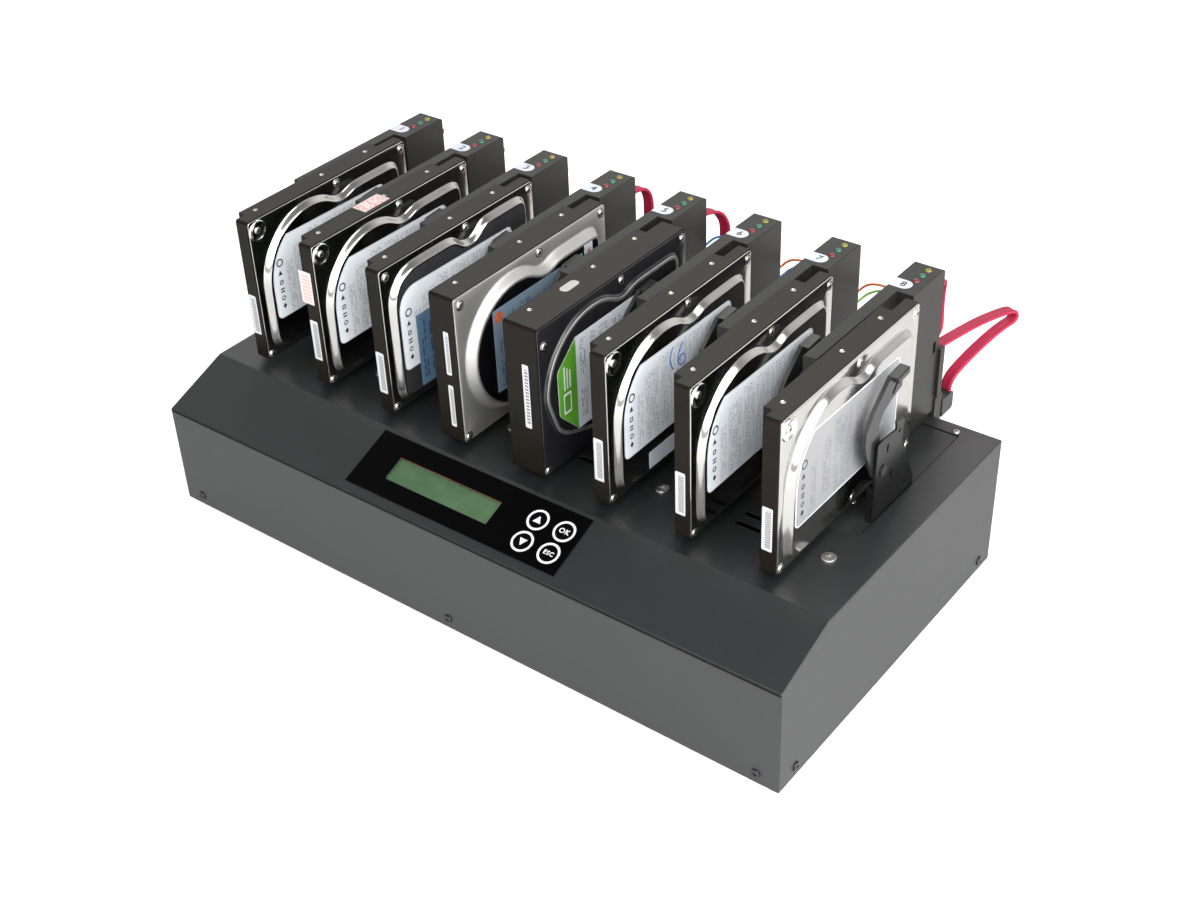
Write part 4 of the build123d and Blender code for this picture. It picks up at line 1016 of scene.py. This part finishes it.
def add_trim(name, body, place, outline, half_width, height):
    """Low bright trim that follows a closed outline."""
    form = bmesh.new()
    rings = []
    for i, point in enumerate(outline):
        along = (outline[(i + 1) % len(outline)] - outline[i - 1]).normalized()
        across = Vector((-along.y, along.x))
        turns = [pi * k / 8 for k in range(9)]
        rings.append([
            form.verts.new(place.at(point + across * half_width * cos(turn), height * sin(turn)))
            for turn in turns
        ])
    join_loops(form, [rings[-1], *rings])
    finished(form, name, body, cover_satin, smooth=True)


def add_pen_marks(place):
    """Blue pen strokes across a label."""
    strokes = (
        [(-17.0, 177), (-19.8, 172), (-19.6, 166), (-16.6, 161.5)],
        [(-7, 176), (-11.5, 171), (-12.2, 163.5), (-8.2, 159.8), (-4.4, 162.2), (-5.2, 167), (-9, 168),
         (-11.6, 165)],
    )
    for i, stroke in enumerate(strokes, start=1):
        points = [place.at(point, 0.2) for point in stroke]
        round_line(f"pen_6_{i}", points, PEN_WIDTH * MM, ink_blue, drive_body[6])


def add_stickers():
    """White stickers on the drives' fronts, and the paper one on the second drive."""
    spans = {
        1: [(116, 145)], 2: [(115.5, 144.5)], 3: [(111, 140.5)], 4: [(145, 175), (108, 137.5)],
        5: [(130, 173.5)],
    }
    sides = {4: (-6.6, -2.7), 5: (-3.2, 1.4)}
    for n in STATIONS:
        left, right = sides.get(n, (-9.7, -3.1))
        for i, (low, high) in enumerate(spans.get(n, [(113, 142)]), start=1):
            outline = panel(left, low, right, high, 0.8)
            flat_piece(f"sticker_{n}_{i}", drive_body[n], front_place(n), outline, bar_print, 0.1)
    outline = panel(-13.6, 156.5, -3.2, 179.5, 0.4)
    flat_piece("sticker_2_front", drive_body[2], front_place(2), outline, pink_print, 0.1)


def add_screw(form, place, centre, radius=2.4, height=0.9):
    """Domed head with a six-lobed recess, drawn as a flat dark star of painted shade."""
    add_turned(form, place, centre, [(radius * across, height * up) for across, up in SCREW_PROFILE])
    star = [
        point.lerp(Vector(centre), 0.52 if i % 2 else 0.66)
        for i, point in enumerate(circle(centre, radius, 12))
    ]
    # Painted shade: a flat dark star stands for the hollow of the recess.
    add_sheet(form, place, star, 0.06, height * 0.96, slot=1)


def add_cover_screws():
    """Screws of the drives' covers, in their pressed dishes."""
    for n in STATIONS:
        place = side_place(n, plate_face[n])
        form = bmesh.new()
        corner = PLAIN_CORNER_SCREW.get(n, CORNER_SCREW)
        for centre in [corner, *COVER_SCREWS]:
            add_screw(form, place, centre)
            if centre != CORNER_SCREW:
                add_turned(form, place, centre, RIM_PROFILE, slot=2)
        if corner == CORNER_SCREW:
            add_turned(form, place, corner, DISH_PROFILE, 40, 2)
        metals = screw_silver, recess_painted_shade, trim_chrome
        finished(form, f"cover_{n}_screws", drive_body[n], *metals, smooth=True)
        form = bmesh.new()
        level = top_place(n, drive_top)
        for offset in HOLE_OFFSETS:
            centre = (DRIVE_HOLE, drive_high[1] - offset)
            add_turned(form, level, centre, HOLE_PROFILE, 20)
        finished(form, f"drive_{n}_hole_faces", drive_body[n], screw_silver, smooth=True)


def add_case_screws():
    """Small silver screws behind each opening and in each station's base."""
    form = bmesh.new()
    for n in STATIONS:
        add_screw(form, top_place(n, case_top / MM), SMALL_SCREW_REAR, 2.2, 0.8)
        add_screw(form, top_place(n, case_top / MM - 0.6), SMALL_SCREW_BASE, 1.7, 0.8)
    finished(form, "small_screws", "case", screw_silver, recess_painted_shade, smooth=True)
    fan_low, fan_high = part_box("fan_frame")
    rear = Place((0, case_rear, 0), (-1, 0, 0), (0, 0, 1))
    form = bmesh.new()
    for x in (fan_low[0] / MM + FAN_SCREW, fan_high[0] / MM - FAN_SCREW):
        for z in (fan_low[2] / MM + FAN_SCREW, fan_high[2] / MM - FAN_SCREW):
            add_screw(form, rear, (-x, z), 3.0, 1.4)
    finished(form, "fan_screws", "case", screw_black, recess_painted_shade, smooth=True)


def add_numbers():
    """White number stickers on the towers."""
    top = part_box("station_towers")[1][2] / MM
    outline = rounded([(-28.9, 87.9, 0.4), (-16.3, 87.9, 4.8), (-16.3, 97.7, 4.8), (-28.9, 97.7, 0.4)])
    for n in STATIONS:
        place = top_place(n, top)
        flat_piece(f"number_{n}_paper", "case", place, outline, paper_white)
        written(f"number_{n}", "case", place, NUMBER_PLACE, str(n), NUMBER_SIZE, ink, 0.15, 0.12)


def add_panel_print():
    """Rings and plain signs on the keys, a painted red glint along the display's upper edge, and a painted
    dark reflection along the fold over the front.
    """
    slope = Place((0, case_front, SLOPE_FOOT * MM), (1, 0, 0), (0, cos(SLOPE), sin(SLOPE)))
    for name, (x, s) in KEY_PLACES.items():
        corners = [vertex.co - slope.origin for vertex in frame["nodes"][name].data.vertices]
        lift = max(corner.dot(slope.normal) for corner in corners) / MM
        body = body_of(name)
        outer, inner = (circle((x, s), radius, 48) for radius in RING_RADII)
        flat_piece(f"{name}_ring", body, slope, outer, ink_white, 0.06, lift, [inner])
        if name in ("key_ok", "key_esc"):
            size, word = 4.7 if name == "key_ok" else 4.0, name[4:].upper()
            written(f"{name}_sign", body, slope, (x, s), word, size, ink_white, lift, 0.06, 1.12)
        else:
            side = 1 if name == "key_up" else -1
            arrow = [(x - 2.7, s - 1.9 * side), (x + 2.7, s - 1.9 * side), (x, s + 2.8 * side)]
            flat_piece(f"{name}_sign", body, slope, arrow, ink_white, 0.06, lift)
    # Painted dark reflection: a thin matt black strip along the fold between the front and the slope.
    front = Place((0, case_front, 0), (1, 0, 0), (0, 0, 1))
    half = case_high.x / MM - 0.6
    fold = panel(-half, FOLD_Z[0], half, FOLD_Z[1])
    flat_piece("front_fold_painted_reflection", "case", front, fold, fold_dark_reflection, 0.04, 0.0)
    # Painted glint: a thin red strip along the display's upper edge, for light refracted through the
    # window's edge.
    flat_piece("display_painted_glint", "case", slope, panel(*DISPLAY_EDGE), display_glint_red, 0.1, 0.1)


for n in STATIONS:
    add_cover(n, {4: cover_satin, 5: cover_black}.get(n, cover_bright))
add_labels()
add_stickers()
add_cover_screws()
add_case_screws()
add_numbers()
add_panel_print()


# Floor and light
def add_stage():
    """White paper floor that keeps the object's shadow."""
    form = bmesh.new()
    bmesh.ops.create_grid(form, x_segments=1, y_segments=1, size=6)
    floor = placed("floor", mesh_from(form, "floor"))
    settings = {"Base Color": (0.88, 0.88, 0.88), "Roughness": 0.9, "Emission Color": (1, 1, 1)}
    material, tree, shader = new_material("floor_paper", settings)
    feed(maths("MULTIPLY", seen_rays(tree), 0.45), shader.inputs["Emission Strength"])
    floor.data.materials.append(material)


def seen_rays(tree):
    """1 for what the camera sees, straight or through glass."""
    path = node(tree, "ShaderNodeLightPath")
    return maths("MAXIMUM", path.outputs["Is Camera Ray"], path.outputs["Is Transmission Ray"])


def add_world():
    """Pale studio, white where it is seen, dimmer from the left and above, with a backdrop in gloss."""
    world = bpy.data.worlds.new("studio")
    bpy.context.scene.world = world
    world.use_nodes = True
    tree = world.node_tree
    background = tree.nodes["Background"]
    x, y, z = place_axes(tree, "Generated")
    right = maths("MULTIPLY_ADD", x, 0.75, maths("MULTIPLY", y, -0.55))
    room = maths("MULTIPLY_ADD", ramp(right, -0.55, 0.35), 0.45, 0.2)
    overhead = maths("MULTIPLY_ADD", ramp(z, 0.35, 0.9), -0.45, 1.0)
    rear = maths("MULTIPLY_ADD", y, 0.7, maths("MULTIPLY", x, -0.5))
    backdrop = product(ramp(rear, 0.1, 0.5), ramp(z, 0.85, 0.65))
    glossy = node(tree, "ShaderNodeLightPath").outputs["Is Glossy Ray"]
    seen_back = product(glossy, backdrop)
    shown = maths("MULTIPLY_ADD", seen_back, 0.75, product(room, overhead))
    feed(maths("MAXIMUM", seen_rays(tree), shown), background.inputs["Strength"])
    feed((1, 1, 1), background.inputs["Color"])


def add_lamp(name, place, target, size, power):
    data = bpy.data.lights.new(name, "AREA")
    data.shape = "RECTANGLE"
    data.size, data.size_y = size
    data.energy = power
    lamp = placed(name, data)
    lamp.location = place
    lamp.rotation_euler = (Vector(target) - Vector(place)).to_track_quat("-Z", "Y").to_euler()


add_stage()
add_world()
add_lamp("key", (1.75, -0.25, 1.2), (0, 0, 0.1), (2.2, 2.2), 50)
add_lamp("side", (0.95, -1.35, 1.15), (0, 0, 0.12), (2.4, 1.9), 52)
add_lamp("back", (-0.7, 1.2, 1.5), (0, 0, 0.15), (1.4, 0.8), 6)
add_lamp("front", (0.3, -1.9, 0.7), (0, 0, 0.05), (1.6, 0.8), 3)
bpy.context.scene.view_settings.view_transform = "Standard"
